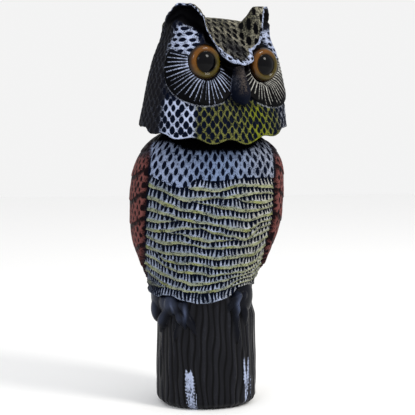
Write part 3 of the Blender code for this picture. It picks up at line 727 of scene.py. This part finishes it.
def emboss(points, relief):
    """Moves a grid of points outwards by a softened relief."""
    return points + grid_normals(points) * blur(relief)[..., None]


def close_grid(name, points, paint):
    """A closed mesh from a grid of points, with its first and last row filled round a middle point."""
    rows, columns = points.shape[:2]
    middles = np.stack([points[0].mean(axis=0), points[-1].mean(axis=0)])
    verts = np.concatenate([points.reshape(-1, 3), middles])
    index = np.arange(rows * columns).reshape(rows, columns)
    beside = np.roll(index, -1, axis=1)
    quads = np.stack([index[:-1], index[1:], beside[1:], beside[:-1]], axis=2).reshape(-1, 4)
    top = np.stack([np.full(columns, rows * columns), index[0], beside[0]], axis=1)
    foot = np.stack([np.full(columns, rows * columns + 1), beside[-1], index[-1]], axis=1)
    mesh = bpy.data.meshes.new(name)
    corners = np.concatenate([quads.ravel(), top.ravel(), foot.ravel()])
    sizes = np.concatenate([np.full(len(quads), 4), np.full(2 * columns, 3)])
    mesh.vertices.add(len(verts))
    mesh.vertices.foreach_set("co", verts.astype(np.float32).ravel())
    mesh.loops.add(len(corners))
    mesh.loops.foreach_set("vertex_index", corners.astype(np.int32))
    mesh.polygons.add(len(sizes))
    mesh.polygons.foreach_set("loop_start", (np.cumsum(sizes) - sizes).astype(np.int32))
    mesh.update(calc_edges=True)
    mesh.validate()
    mesh.shade_smooth()
    for key in ("pit", "cover"):
        values = getattr(paint, key)
        full = np.concatenate([values.ravel(), [values[0].mean(), values[-1].mean()]])
        mesh.attributes.new(key, "FLOAT", "POINT").data.foreach_set("value", full.astype(np.float32))
    for key in ("ground", "brushed"):
        values = getattr(paint, key)
        full = np.concatenate([values.reshape(-1, 3), [values[0].mean(axis=0), values[-1].mean(axis=0)]])
        colours = np.concatenate([full, np.ones((len(full), 1))], axis=1)
        layer = mesh.attributes.new(key, "FLOAT_COLOR", "POINT")
        layer.data.foreach_set("color", colours.astype(np.float32).ravel())
    piece = bpy.data.objects.new(name, mesh)
    bpy.context.scene.collection.objects.link(piece)
    return piece


def pit_relief(distance):
    """Depth of a pit's floor, from its signed distance."""
    return -PIT_DEPTH * fade(-0.8 * MM, 0.35 * MM, distance)


# Head


def brow_run(bearing):
    """Distance along the crown's edge from its middle."""
    steps = np.radians(np.linspace(0, 180, 721))
    edge = crown_edge(steps)
    radius = head_radius(steps, edge)
    x = radius * np.sin(steps)
    y = radius * np.cos(steps)
    lengths = np.sqrt(np.diff(x) ** 2 + np.diff(y) ** 2 + np.diff(edge) ** 2)
    run = np.concatenate([[0], np.cumsum(lengths)])
    return np.interp(np.abs(bearing), steps, run) * np.sign(bearing)


def brow_pits(bearing, rim):
    """Signed distance to the row of pits along the pale band of the brow."""
    run = brow_run(bearing) + 2 * MM
    place = np.round(run / BROW_PIT_PITCH)
    centre = (place + 0.3 * (scatter(place, place, 5) - 0.5)) * BROW_PIT_PITCH
    on_arm = bump(np.degrees(bearing), 0, 34)
    level = (-0.8 + 2.2 * on_arm + 2.4 * (scatter(place, place, 6) - 0.5)) * MM
    across = np.abs(run - centre) / (2.1 * MM)
    tall = np.abs(rim - level) / (1.5 * MM)
    return (np.hypot(across, tall) - 1) * 1.5 * MM


def brow_band(bearing, rim):
    """1 on the pale band that runs from the ear tips down to the V over the beak."""
    side = np.degrees(np.abs(bearing))
    over_beak = fade(14, 44, side)
    upper = 0.6 * MM + 3.2 * MM * bump(side, 20, 14) + 0.6 * MM * over_beak
    lower = 2 * MM + 1 * MM * over_beak
    on_band = smoothstep(-lower, -lower * 0.75, rim) * fade(upper, upper + 1 * MM, rim)
    return on_band * fade(64, 92, side)


def paint_crown(bearing, inward, x, y):
    """Forehead, crown and the backs of the ears: khaki brushed over charcoal, with small upright pits."""
    paint = Paint(bearing.shape, CHARCOAL)
    slope_run = -y * FOREHEAD_SLOPE
    rim = inward * head_radius(bearing, crown_edge(bearing))
    distance = lozenges(x / CROWN_PITS[0], slope_run, CROWN_PITS, 11)
    band = brow_band(bearing, rim)
    paint.pits(1 - band, distance)
    paint.pits(band, brow_pits(bearing, rim))
    patchy = 0.5 + 0.5 * swirl(x / (70 * MM), slope_run, 4)
    behind = smoothstep(0, 60 * MM, y)
    over_beak = bump(x, 0, 14 * MM) * bump(rim, 12 * MM, 16 * MM) * (np.cos(bearing) > 0)
    paint.brush(1, KHAKI, 0.48)
    paint.brush((1 - patchy) * 0.6, OLIVE, 0.36)
    paint.brush(patchy**2 * 0.8 * (1 - behind), CREAM, 0.58)
    paint.brush(over_beak * 0.8, SIDE_GREY, 0.3)
    paint.brush(behind * 0.8, SIDE_GREY, 0.36)
    side = np.degrees(np.abs(bearing))
    paint.brush(band, LAVENDER_WHITE, 0.68 - 0.16 * smoothstep(45, 75, side))
    paint.tint(fade(-0.3 * MM, 0.3 * MM, distance), NEAR_BLACK)
    relief = pit_relief(paint.pit * MM) * 0.8
    return paint, relief


def disc_ribs(distance, angle, side_seed):
    """Signed distance to the raised ribs that fan out from an eye, above 0 on a rib."""
    step = 2 * math.pi / DISC_RIBS
    phase = angle / step + 0.12 * np.sin(angle * 7 + side_seed)
    rib = np.round(phase)
    off = np.abs(phase - rib + 0.3 * (scatter(rib, rib, 8) - 0.5)) * step * distance
    outward = np.clip((distance - EYE_RADIUS) / (DISC_RADIUS - EYE_RADIUS), 0, 1)
    width = (0.54 - 0.3 * outward) * MM * (0.6 + 0.7 * scatter(rib, rib, 9))
    end = DISC_RADIUS * (0.84 + 0.15 * scatter(rib, rib, 10))
    return np.minimum(width - off, (end - distance) * 0.5)


def paint_face(bearing, height):
    """Ears, eye patches, facial discs, beak, cheeks, and the sides and back of the head."""
    paint = Paint(bearing.shape, CHARCOAL)
    degrees = np.degrees(bearing)
    side = np.abs(degrees)
    distance, angle = disc_place(bearing, height)
    rim = height - crown_edge(bearing)
    beak = beak_share(bearing, height)[2]
    disc = (distance < DISC_RADIUS) * disc_share(angle) * (side < 100)
    patch_reach = np.hypot((side - 60) / 17, (height - 358 * MM) / (19 * MM))
    patch = fade(0.86, 1.1, patch_reach) * (1 - disc)
    upright = lozenges(bearing, height, CHEEK_PITS, 1)
    flat = lozenges(bearing, height, PATCH_PITS, 2)
    ribs = disc_ribs(distance, angle, np.sign(bearing))
    paint.pits(1 - disc, upright)
    paint.pits(patch, flat)
    paint.pits(disc, ribs)
    # Sides and back
    paint.brush(1, SIDE_GREY, 0.36)
    # Cheeks and throat
    below = fade(303 * MM, 309 * MM, height)
    throat = smoothstep(-46, -39, degrees) * fade(34, 46, degrees)
    cheek_right = fade(66, 73, -degrees) * smoothstep(40, 46, -degrees)
    cheek_left = fade(62, 74, degrees) * smoothstep(34, 46, degrees)
    paint.brush(cheek_right * below, LAVENDER_WHITE, 0.88)
    paint.brush(cheek_left * below, GREY_WHITE, 0.42)
    # The throat's yellow-green is its paint; the stronger yellow-green towards the owl's left is partly that
    # paint and partly a painted highlight
    yellow_and_highlight = 0.4 + 0.6 * bump(degrees, 14, 13)
    under_disc = fade(296 * MM, 312 * MM, height)
    paint.brush(throat * under_disc, OLIVE, 0.52)
    paint.brush(throat * under_disc * yellow_and_highlight, YELLOW_GREEN, 0.72)
    # Patches over the eyes
    paint.brush(patch, LAVENDER_WHITE, 0.7)
    paint.brush(patch * smoothstep(66, 80, side), SIDE_GREY, 0.3)
    # Facial discs
    paint.brush(disc, LAVENDER_WHITE, 0.84)
    paint.brush(disc * (degrees > 0) * 0.7, CREAM, 0.8)
    paint.tint(disc, NEAR_BLACK)
    rim_line = bump(distance, DISC_RADIUS + 0.6 * MM, 0.7 * MM)
    rim_line *= disc_share(angle) * smoothstep(14, 24, side)
    paint.pits(rim_line * 1.2, 1 * MM)
    paint.brush(rim_line, GREY_WHITE, 0.46)
    # Painted shade: the hollows under the ears and the brow and a thin ring round each eye are left unbrushed
    # and darkened to near black; beside the beak the near black is the face's own paint
    ear = bump(side, EAR_HOLLOW_BEARING, EAR_HOLLOW_WIDTH)
    reach = 12 * MM + (21 * MM - 12 * MM) * ear
    under_brow = (rim < -BROW_LIP * 0.7) * fade(reach, reach + 2.5 * MM, -rim) * fade(78, 88, side)
    round_eye = fade(EYE_RADIUS + 0.5 * MM, EYE_RADIUS + 1.2 * MM, distance)
    beside_beak = bump(side, 0, 10) * smoothstep(296 * MM, 306 * MM, height)
    dark_paint_and_painted_shade = np.maximum(np.maximum(under_brow, round_eye), beside_beak)
    paint.brush(dark_paint_and_painted_shade, NEAR_BLACK, 0.0)
    paint.tint(dark_paint_and_painted_shade, NEAR_BLACK)
    # Brow band
    band = brow_band(bearing, rim)
    paint.pits(band, brow_pits(bearing, rim))
    paint.brush(band, LAVENDER_WHITE, 0.68 - 0.16 * smoothstep(45, 75, side))
    # Beak
    upper = smoothstep(306 * MM, 316 * MM, height)
    paint.pits(beak, 3 * MM)
    paint.tint(beak, BEAK_NAVY)
    ridge = bump(degrees, -2, 3.5) * upper
    paint.brush(beak * (1 - ridge), BEAK_NAVY, 0.45)
    paint.brush(beak * ridge, BEAK_BROWN, 0.62)
    # Hem
    hem_line = fade(0.6 * MM, 1.6 * MM, height - hem_height(bearing))
    paint.pits(hem_line * (side < 75), 1 * MM)
    painted = (1 - disc) * (1 - dark_paint_and_painted_shade) * fade(66, 78, side)
    paint.tint(painted * fade(-0.3 * MM, 0.3 * MM, paint.pit * MM), NAVY)
    raised_ribs = RIB_HEIGHT * smoothstep(-0.5 * MM, 0.4 * MM, ribs)
    carved = np.where(disc > 0.5, raised_ribs, pit_relief(paint.pit * MM))
    return paint, carved * (1 - dark_paint_and_painted_shade)


def head_piece():
    around = spread_bearings(HEAD_SPANS)
    edge = crown_edge(around)
    hem = hem_height(around)
    inwards = 0.97 * np.linspace(1, 0, HEAD_CROWN_ROWS) ** 1.15
    profile = [crown_point(around, inward) for inward in inwards]
    for share in np.linspace(0, 1, HEAD_FACE_ROWS + 1)[1:]:
        level = edge + (hem - edge) * share
        profile.append((head_radius(around, level), level))
    profile.append((plain_head_radius(around, hem) - 1 * MM, hem - 0.6 * MM))
    for share in np.linspace(0, 1, 6):
        level = hem + (RECESS_CEILING - hem) * share
        profile.append((plain_head_radius(around, level) - SKIRT_WALL, level))
    ceiling = profile[-1][0]
    for share in (0.7, 0.4, 0.1):
        profile.append((ceiling * share, np.full_like(around, RECESS_CEILING)))
    radius, bearing, height = profile_grid(around, profile)
    points = around_axis(radius, bearing, height, forward=HEAD_FORWARD)
    crown = slice(0, HEAD_CROWN_ROWS)
    face = slice(HEAD_CROWN_ROWS, HEAD_CROWN_ROWS + HEAD_FACE_ROWS)
    inside = slice(HEAD_CROWN_ROWS + HEAD_FACE_ROWS, None)
    x, y = points[crown, :, 0], points[crown, :, 1]
    crown_paint, crown_relief = paint_crown(bearing[crown], inwards[:, None], x, y)
    face_paint, face_relief_ = paint_face(bearing[face], height[face])
    paint = join_paint([crown_paint, face_paint, Paint(radius[inside].shape, NEAR_BLACK)])
    relief = np.concatenate([crown_relief, face_relief_, np.zeros(radius[inside].shape)])
    turn = np.array(Matrix.Rotation(HEAD_TURN, 3, "Z"))
    return close_grid("owl_head", emboss(points, relief) @ turn.T, paint)


# Torso


def paint_torso(bearing, height):
    """The pale bib, the rows of feather teeth with their green lips, and the brick-red wings."""
    paint = Paint(bearing.shape, NEAR_BLACK)
    degrees = np.degrees(bearing)
    side = np.abs(degrees)
    wing = smoothstep(-1.4 * MM, -0.8 * MM, past_wing_edge(bearing, height))
    bib = (height > bib_edge(bearing)) * 1.0
    row, down, tall = feather_row(bearing, height)
    last = row == len(ROW_LIPS)
    pitch = 2 * math.pi * TEETH_CHART / TEETH_AROUND
    phase = bearing * TEETH_AROUND / (2 * math.pi)
    phase += 0.5 * scatter(row, row, 14) + 0.3 * swirl(bearing, height, 2)
    tooth = np.round(phase)
    length = 0.62 + 0.18 * (scatter(tooth, row, 3) - 0.5) + 0.24 * last
    half_width = (0.46 - 0.26 * np.clip(down / length, 0, 1) + 0.1 * (scatter(tooth, row, 4) - 0.5)) * pitch
    off_middle = np.abs(phase - tooth + 0.16 * (scatter(tooth, row, 5) - 0.5))
    slots = np.maximum(off_middle * pitch - half_width, (down - length) * tall)
    bib_pits = lozenges(bearing, height, BIB_PITS, 3)
    wing_pits = lozenges(bearing, height, WING_PITS, 7)
    paint.pits(1, slots)
    paint.pits(bib, bib_pits)
    paint.pits(wing, wing_pits)
    # Feather rows
    right_half = smoothstep(5, 45, degrees)
    patchy = 0.5 + 0.5 * swirl(bearing, height, 6)
    lip = smoothstep(0.6, 0.72, down) * ~last
    lip_edge = smoothstep(0.84, 0.92, down) * ~last
    paint.tint(1, NAVY)
    paint.brush(1, TOOTH_GREY, 0.74)
    paint.brush(patchy * 0.7, LAVENDER_WHITE, 0.74)
    paint.brush(right_half * 0.5, CREAM, 0.68)
    paint.brush(lip * (0.45 + 0.5 * patchy), LIP_GREEN, 0.7)
    paint.brush(lip_edge * (0.8 - 0.4 * patchy), LIP_EDGE, 0.78)
    # Painted shadow: the strip under each lip is left unbrushed and dark
    paint.brush(fade(0.0, 0.08, down), NEAR_BLACK, 0.1)
    # Bib
    paint.brush(bib, BIB_BLUE, 0.76)
    paint.brush(bib * fade(-60, -5, degrees) * 0.45, LAVENDER_WHITE, 0.78)
    paint.brush(bib * smoothstep(5, 55, degrees) * 0.8, GREY_WHITE, 0.62)
    # Painted shadow under the head's skirt, over the top of the bib
    painted_neck_shadow = smoothstep(254 * MM, 259 * MM, height - 9 * MM * smoothstep(25, 60, side))
    # Wings
    band = wing_band(bearing, height)
    into_band = np.ceil(band) - band
    low = fade(135 * MM, 165 * MM, height)
    shoulder = smoothstep(246 * MM, 256 * MM, height)
    behind = smoothstep(110, 150, side)
    paint.tint(wing, BRICK_DARK)
    paint.brush(wing, BRICK, 0.8)
    # Painted shadow: the top of each covert band, under the edge of the band above, is left dark
    paint.brush(wing * fade(0.08, 0.26, into_band) * 0.8, BRICK_DARK, 0.15)
    paint.brush(wing * np.maximum(low, behind) * 0.5, BRICK_DARK, 0.5)
    paint.brush(wing * shoulder * 0.85, SIDE_GREY, 0.45)
    gap = bump(past_wing_edge(bearing, height), -1.6 * MM, 1.2 * MM) * (1 - shoulder)
    paint.brush(gap, NEAR_BLACK, 0.2)
    low_side = smoothstep(45, 72, side) * fade(118 * MM, 142 * MM, height)
    paint.brush(low_side * 0.7, SIDE_GREY, 0.4)
    # Painted shadow: the top of the bib is made near black where the head shades it
    paint.brush(painted_neck_shadow, NEAR_BLACK, 0.05)
    paint.tint(painted_neck_shadow, NEAR_BLACK)
    depth = np.where(wing > 0.5, 0.8, np.where(bib > 0.5, 0.9, TOOTH_DEPTH / PIT_DEPTH))
    clear_hem = smoothstep(0, 1.2 * MM, height - breast_hem(bearing))
    relief = pit_relief(paint.pit * MM) * depth * clear_hem * fade(266 * MM, 274 * MM, height)
    return paint, relief


def torso_piece():
    around = spread_bearings(TORSO_SPANS)
    top = TORSO_SECTIONS[-1][0] * MM
    hem = breast_hem(around)
    boss_top = RECESS_CEILING - FIT_GAP
    bevel = 1.5 * MM
    boss = [(BOSS_RADIUS * 0.1, boss_top), (BOSS_RADIUS * 0.6, boss_top), (BOSS_RADIUS - bevel, boss_top)]
    boss += [(BOSS_RADIUS, boss_top - bevel), (BOSS_RADIUS, top + 1 * MM)]
    profile = [(np.full_like(around, radius), np.full_like(around, level)) for radius, level in boss]
    for share in np.linspace(0, 1, TORSO_ROWS):
        level = top + (hem - top) * share
        profile.append((torso_radius(around, level), level))
    skin = slice(len(boss), len(profile))
    rim = profile[-1][0]
    profile += [(rim - 2 * MM, hem - 0.2 * MM), (rim - 5 * MM, hem + 2 * MM), (rim * 0.6, hem + 4 * MM)]
    profile.append((rim * 0.1, hem + 4 * MM))
    radius, bearing, height = profile_grid(around, profile)
    sway = curve_through(column(TORSO_SECTIONS, 3), height / MM) * MM
    lean = curve_through(column(TORSO_SECTIONS, 4), height / MM) * MM
    points = around_axis(radius, bearing, height, sway, lean)
    skin_paint, skin_relief = paint_torso(bearing[skin], height[skin])
    over = Paint(radius[: skin.start].shape, NEAR_BLACK)
    under = Paint(radius[skin.stop :].shape, NEAR_BLACK)
    relief = np.zeros(radius.shape)
    relief[skin] = skin_relief
    return close_grid("torso", emboss(points, relief), join_paint([over, skin_paint, under]))


# Stump


def stump_radius(bearing, height):
    plain = section_radius(bearing, STUMP_HALF_WIDTH, STUMP_HALF_DEPTH, 2.2)
    foot = STUMP_FOOT_ROUNDING * np.clip(1 - height / STUMP_FOOT_ROUNDING, 0, 1) ** 2
    flare = 1.2 * MM * bump(height, 30 * MM, 30 * MM)
    waist = STUMP_WAIST * bump(np.degrees(bearing), 80, 35) * smoothstep(88 * MM, 102 * MM, height)
    plain = plain + flare - foot - waist
    swell = BARK_SWELL_HEIGHT * (bark_swell(bearing, height) - 0.8)
    carved = plain + BARK_DEPTH * bark(bearing, height) + swell
    below_hem = fade(-1 * MM, 3 * MM, height - breast_hem(bearing))
    toes = toe_relief(bearing, height, STUMP_HALF_WIDTH) * below_hem
    return np.maximum(carved, plain - 1 * MM + toes) + tail_relief(bearing, height), toes


def bark_swell(bearing, height):
    """Broad, wavy ridges of the bark that lean outwards low down on the owl's left, from -1 to 1."""
    lean = 0.0022 * (90 - height / MM) * bump(np.degrees(bearing), 26, 16)
    waver = 0.05 * np.sin(height / (24 * MM) + 5 * bearing)
    waver += 0.02 * np.sin(height / (9 * MM) + 17 * bearing)
    phase = (bearing - lean + waver) * BARK_SWELLS
    return 0.75 * np.sin(phase) + 0.25 * np.sin(1.7 * phase + 2)


def paint_stump(bearing, height, toes):
    """Charcoal bark with painted shade in its grooves and a painted sheen on its ridges, blue-black feet with
    painted highlights, and the white streaks.
    """
    paint = Paint(bearing.shape, BARK_BLACK)
    groove = bark(bearing, height)
    foot = smoothstep(1 * MM, 2.5 * MM, toes)
    paint.pits(1, (groove + 0.45) * 2.4 * MM)
    # Painted shade: the bark's grooves are darkened to near black
    paint.tint(fade(-0.7, -0.2, groove), NEAR_BLACK)
    # Painted sheen: the ridges, most of all on the broad swells, are tinted and brushed lighter
    swell = smoothstep(-0.7, 0.9, bark_swell(bearing, height))
    ridge = smoothstep(-0.6, -0.05, groove) * (0.5 + 0.5 * swell)
    paint.tint(0.55 * ridge, BARK_RIDGE_SHEEN)
    paint.brush(ridge, BARK_RIDGE_SHEEN, 0.3)
    degrees = np.degrees(bearing)
    streak = np.full_like(bearing, -10 * MM)
    for strand in STREAKS:
        level = height / MM
        centre = curve_through(column(strand, 1), level)
        inside = (level >= strand[0][0]) & (level < strand[-1][0])
        half_width = curve_through(column(strand, 2), level) * inside
        frayed = half_width * (1 + 0.2 * np.sin(level * 2.1 + 3 * centre)) - 0.15
        streak = np.maximum(streak, np.radians(frayed - np.abs(degrees - centre)) * STUMP_HALF_WIDTH)
    white = smoothstep(-0.15 * MM, 0.25 * MM, streak)
    paint.pits(white, 1 * MM)
    paint.brush(white, LAVENDER_WHITE, 0.6 + 0.14 * smoothstep(20 * MM, 27 * MM, height))
    paint.pits(foot, 3 * MM)
    paint.tint(foot, FEET_BLUE)
    # Painted highlights: the thickest parts of the toes and a few spots on them are tinted lighter
    painted_highlight = 0.4 * smoothstep(5 * MM, 9.5 * MM, toes)
    for at, level, width, tall in FOOT_HIGHLIGHT_SPOTS:
        painted_highlight = np.maximum(painted_highlight, bump(degrees, at, width) * bump(height / MM, level, tall))
    paint.tint(foot * painted_highlight, FOOT_HIGHLIGHT_COLOUR)
    paint.brush(foot, FEET_BLUE, 0.0)
    return paint


def stump_piece():
    around = spread_bearings(STUMP_SPANS)
    levels = np.linspace(STUMP_TOP, 0, STUMP_ROWS)
    bearing, height = np.meshgrid(around, levels)
    radius, toes = stump_radius(bearing, height)
    paint = paint_stump(bearing, height, toes)
    caps = []
    for ring, shares in ((radius[0], (0.1, 0.9)), (radius[-1], (0.97, 0.6, 0.1))):
        caps.append([ring * share for share in shares])
    radius = np.concatenate([caps[0], radius, caps[1]])
    height = np.concatenate([height[:1], height[:1], height, height[-1:], height[-1:], height[-1:]])
    bearing = np.broadcast_to(around, radius.shape)
    top = Paint((2, len(around)), BARK_BLACK)
    foot = Paint((3, len(around)), BARK_BLACK)
    return close_grid("stump", around_axis(radius, bearing, height), join_paint([top, paint, foot]))


# Eyes


def eye_piece(name, side):
    """A glossy eye: a domed black pupil inside a rounded amber ring, with its stem in the socket."""
    pupil = np.linspace(0.04, 1, 18)
    ring = np.linspace(0, 1, 20)[1:]
    radius = np.concatenate([PUPIL_RADIUS * pupil, PUPIL_RADIUS + (EYE_RADIUS - PUPIL_RADIUS) * ring])
    dome = RING_BULGE + PUPIL_BULGE * (1 - pupil**2) ** 0.8
    hump = RING_BULGE * (1 - ring**2.2) + RING_CREST * np.sin(math.pi * ring**0.8)
    height = np.concatenate([dome, hump])
    radius = np.concatenate([radius, [EYE_RADIUS, EYE_RADIUS * 0.1]])
    height = np.concatenate([height, [-EYE_DEPTH, -EYE_DEPTH]])
    around = np.linspace(-math.pi, math.pi, EYE_COLUMNS, endpoint=False)
    radius, bearing = np.broadcast_arrays(radius[:, None], around)
    paint = Paint(radius.shape, NEAR_BLACK)
    across = radius / MM
    outer = EYE_RADIUS / MM
    inner = PUPIL_RADIUS / MM
    amber = smoothstep(inner - 0.2, inner + 0.3, across)
    to_upper_right_of_owl = 0.5 + 0.5 * np.cos(bearing + math.radians(135))
    paint.brush(amber, AMBER_OLIVE, 1.0)
    paint.brush(amber * smoothstep(0.2, 0.9, to_upper_right_of_owl), AMBER, 1.0)
    paint.brush(amber * fade(inner, inner + 1.1, across) * 0.6, AMBER_DARK, 1.0)
    paint.brush(smoothstep(outer - 3, outer - 0.6, across), AMBER_DARK, 1.0)
    eye = close_grid(name, around_axis(radius, bearing, height[:, None]), paint)
    finish = np.ones(len(eye.data.polygons), np.int32)
    finish[: (len(pupil) - 1) * EYE_COLUMNS] = 0
    finish[-2 * EYE_COLUMNS : -EYE_COLUMNS] = 0
    eye.data.polygons.foreach_set("material_index", finish)
    place = Matrix.Translation((side * EYE_SIDE, -EYE_FRONT, EYE_HEIGHT))
    facing = Matrix.Rotation(side * EYE_TURN, 4, "Z") @ Matrix.Rotation(math.radians(90), 4, "X")
    eye.data.transform(Matrix.Rotation(HEAD_TURN, 4, "Z") @ place @ facing)
    return eye


# Materials


def math_node(tree, operation, first, second):
    node = tree.nodes.new("ShaderNodeMath")
    node.operation = operation
    for socket, value in zip(node.inputs, (first, second)):
        if isinstance(value, (int, float)):
            socket.default_value = value
        else:
            tree.links.new(value, socket)
    return node.outputs[0]


def swing(tree, noise, strength):
    """Noise of 0 to 1 as a swing round 0."""
    return math_node(tree, "MULTIPLY", math_node(tree, "SUBTRACT", noise, 0.5), strength)


def ramp_node(tree, value, low, high, to_low=0.0, to_high=1.0):
    node = tree.nodes.new("ShaderNodeMapRange")
    node.interpolation_type = "SMOOTHSTEP"
    tree.links.new(value, node.inputs["Value"])
    node.inputs["From Min"].default_value = low
    node.inputs["From Max"].default_value = high
    node.inputs["To Min"].default_value = to_low
    node.inputs["To Max"].default_value = to_high
    return node.outputs["Result"]


def noise_node(tree, size, detail, stretch=(1, 1, 1)):
    """Noise whose grains are about size metres across."""
    place = tree.nodes.new("ShaderNodeTexCoord").outputs["Object"]
    mapping = tree.nodes.new("ShaderNodeMapping")
    mapping.inputs["Scale"].default_value = stretch
    tree.links.new(place, mapping.inputs["Vector"])
    node = tree.nodes.new("ShaderNodeTexNoise")
    node.inputs["Scale"].default_value = 1 / size
    node.inputs["Detail"].default_value = detail
    tree.links.new(mapping.outputs["Vector"], node.inputs["Vector"])
    return node.outputs["Fac"]


def attribute_node(tree, name, output):
    node = tree.nodes.new("ShaderNodeAttribute")
    node.attribute_name = name
    return node.outputs[output]


def mix_colour(tree, share, first, second, blend="MIX"):
    node = tree.nodes.new("ShaderNodeMix")
    node.data_type = "RGBA"
    node.blend_type = blend
    for socket, value in (("Factor_Float", share), ("A_Color", first), ("B_Color", second)):
        target = next(s for s in node.inputs if s.identifier == socket)
        if isinstance(value, (int, float, tuple)):
            target.default_value = value
        else:
            tree.links.new(value, target)
    return next(s for s in node.outputs if s.identifier == "Result_Color")


def new_material(name):
    finish = bpy.data.materials.new(name)
    finish.use_nodes = True
    return finish, finish.node_tree, finish.node_tree.nodes["Principled BSDF"]


def painted_plastic(name, bare_roughness, gloss, stretch=(1, 1, 1)):
    """Moulded plastic with paint dry-brushed over its raised parts, thin and patchy at the pits' edges."""
    finish, tree, shader = new_material(name)
    grain = noise_node(tree, 0.9 * MM, 3, stretch)
    blotch = noise_node(tree, 4.5 * MM, 4, stretch)
    pit = attribute_node(tree, "pit", "Fac")
    cover = attribute_node(tree, "cover", "Fac")
    rough_pit = math_node(tree, "ADD", pit, swing(tree, grain, 0.7))
    raised = ramp_node(tree, rough_pit, -0.25, 0.3)
    speckled = math_node(tree, "ADD", cover, swing(tree, grain, 2.6))
    thick = math_node(tree, "ADD", speckled, swing(tree, blotch, 0.9))
    brushed_share = math_node(tree, "MULTIPLY", ramp_node(tree, thick, 0.32, 0.72), raised)
    shade = mix_colour(tree, 0.42, (1, 1, 1, 1), ramp_node(tree, blotch, 0.3, 0.7, 0.45, 1.1))
    brushed = mix_colour(tree, 1.0, attribute_node(tree, "brushed", "Color"), shade, "MULTIPLY")
    colour = mix_colour(tree, brushed_share, attribute_node(tree, "ground", "Color"), brushed)
    tree.links.new(colour, shader.inputs["Base Color"])
    roughness = ramp_node(tree, brushed_share, 0, 1, bare_roughness, PAINT_ROUGHNESS)
    tree.links.new(roughness, shader.inputs["Roughness"])
    bump_node = tree.nodes.new("ShaderNodeBump")
    bump_node.inputs["Strength"].default_value = 0.35
    bump_node.inputs["Distance"].default_value = 0.25 * MM
    tree.links.new(math_node(tree, "ADD", grain, brushed_share), bump_node.inputs["Height"])
    tree.links.new(bump_node.outputs["Normal"], shader.inputs["Normal"])
    shader.inputs["Specular IOR Level"].default_value = gloss
    return finish


def eye_gloss(name, coat):
    """Cast eye plastic: the colour of its own attribute, faintly streaked, under a hard gloss."""
    finish, tree, shader = new_material(name)
    streak = ramp_node(tree, noise_node(tree, 3 * MM, 2), 0.3, 0.7, 0.8, 1.1)
    colour = mix_colour(tree, 1.0, attribute_node(tree, "brushed", "Color"), streak, "MULTIPLY")
    tree.links.new(colour, shader.inputs["Base Color"])
    shader.inputs["Roughness"].default_value = 0.16
    shader.inputs["Specular IOR Level"].default_value = 0.03
    shader.inputs["Coat Weight"].default_value = coat
    shader.inputs["Coat IOR"].default_value = 1.45
    shader.inputs["Coat Roughness"].default_value = 0.04
    return finish


# Stage


def add_floor():
    bpy.ops.mesh.primitive_plane_add(size=FLOOR_SIZE, location=(0, 0, 0))
    floor = bpy.context.object
    floor.name = "floor"
    finish, _, shader = new_material("pale_floor")
    shader.inputs["Base Color"].default_value = (*linear(FLOOR_WHITE), 1)
    shader.inputs["Roughness"].default_value = 1.0
    floor.data.materials.append(finish)


def add_light(name, place, size, power, tint):
    data = bpy.data.lights.new(name, "AREA")
    data.shape = "DISK"
    data.size = size
    data.energy = power
    data.color = tint
    lamp = bpy.data.objects.new(name, data)
    lamp.location = place
    lamp.rotation_euler = (Vector(LIGHTS_AIM) - Vector(place)).to_track_quat("-Z", "Y").to_euler()
    bpy.context.scene.collection.objects.link(lamp)


def add_world():
    world = bpy.data.worlds.new("studio")
    world.use_nodes = True
    background = world.node_tree.nodes["Background"]
    background.inputs["Color"].default_value = (1, 1, 1, 1)
    background.inputs["Strength"].default_value = WORLD_STRENGTH
    bpy.context.scene.world = world


def add_camera():
    data = bpy.data.cameras.new("camera")
    data.sensor_width = 36
    data.lens = 36 * FOCAL_PIXELS / PICTURE
    camera = bpy.data.objects.new("camera", data)
    away = Vector((math.sin(CAMERA_AZIMUTH), -math.cos(CAMERA_AZIMUTH), 0)) * CAMERA_DISTANCE
    camera.location = away + Vector((0, 0, CAMERA_HEIGHT))
    yaw = math.atan((PICTURE / 2 - AXIS_PIXEL) / FOCAL_PIXELS)
    camera.rotation_euler = (math.radians(90) + CAMERA_PITCH, 0, CAMERA_AZIMUTH - yaw)
    bpy.context.scene.collection.objects.link(camera)
    bpy.context.scene.camera = camera


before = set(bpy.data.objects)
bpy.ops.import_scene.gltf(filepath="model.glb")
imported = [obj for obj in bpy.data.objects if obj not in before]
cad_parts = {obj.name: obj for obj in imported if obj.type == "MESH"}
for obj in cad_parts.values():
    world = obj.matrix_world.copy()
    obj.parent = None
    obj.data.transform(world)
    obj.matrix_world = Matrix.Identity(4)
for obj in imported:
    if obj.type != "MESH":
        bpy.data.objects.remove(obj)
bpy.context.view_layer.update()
add_camera()
add_floor()
add_world()
bpy.context.scene.view_settings.view_transform = "Standard"
add_light("key", *KEY_LIGHT)
add_light("fill", *FILL_LIGHT)

head = head_piece()
head.data.materials.append(painted_plastic("painted_head", 0.42, 0.02))
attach(head, "head")
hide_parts("head")

torso = torso_piece()
torso.data.materials.append(painted_plastic("painted_torso", 0.42, 0.02))
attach(torso, "body")
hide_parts("body")

stump = stump_piece()
stump.data.materials.append(painted_plastic("painted_stump", 0.32, 0.07, (1, 1, 0.35)))
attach(stump, "body")
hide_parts("body")

for name, node, side in (("left_eye", "eye_left", 1), ("right_eye", "eye_right", -1)):
    eye = eye_piece(name, side)
    eye.data.materials.append(eye_gloss(name + "_pupil", 0.16))
    eye.data.materials.append(eye_gloss(name + "_ring", 0.5))
    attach(eye, "head")
    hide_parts(node)

bpy.context.view_layer.update()
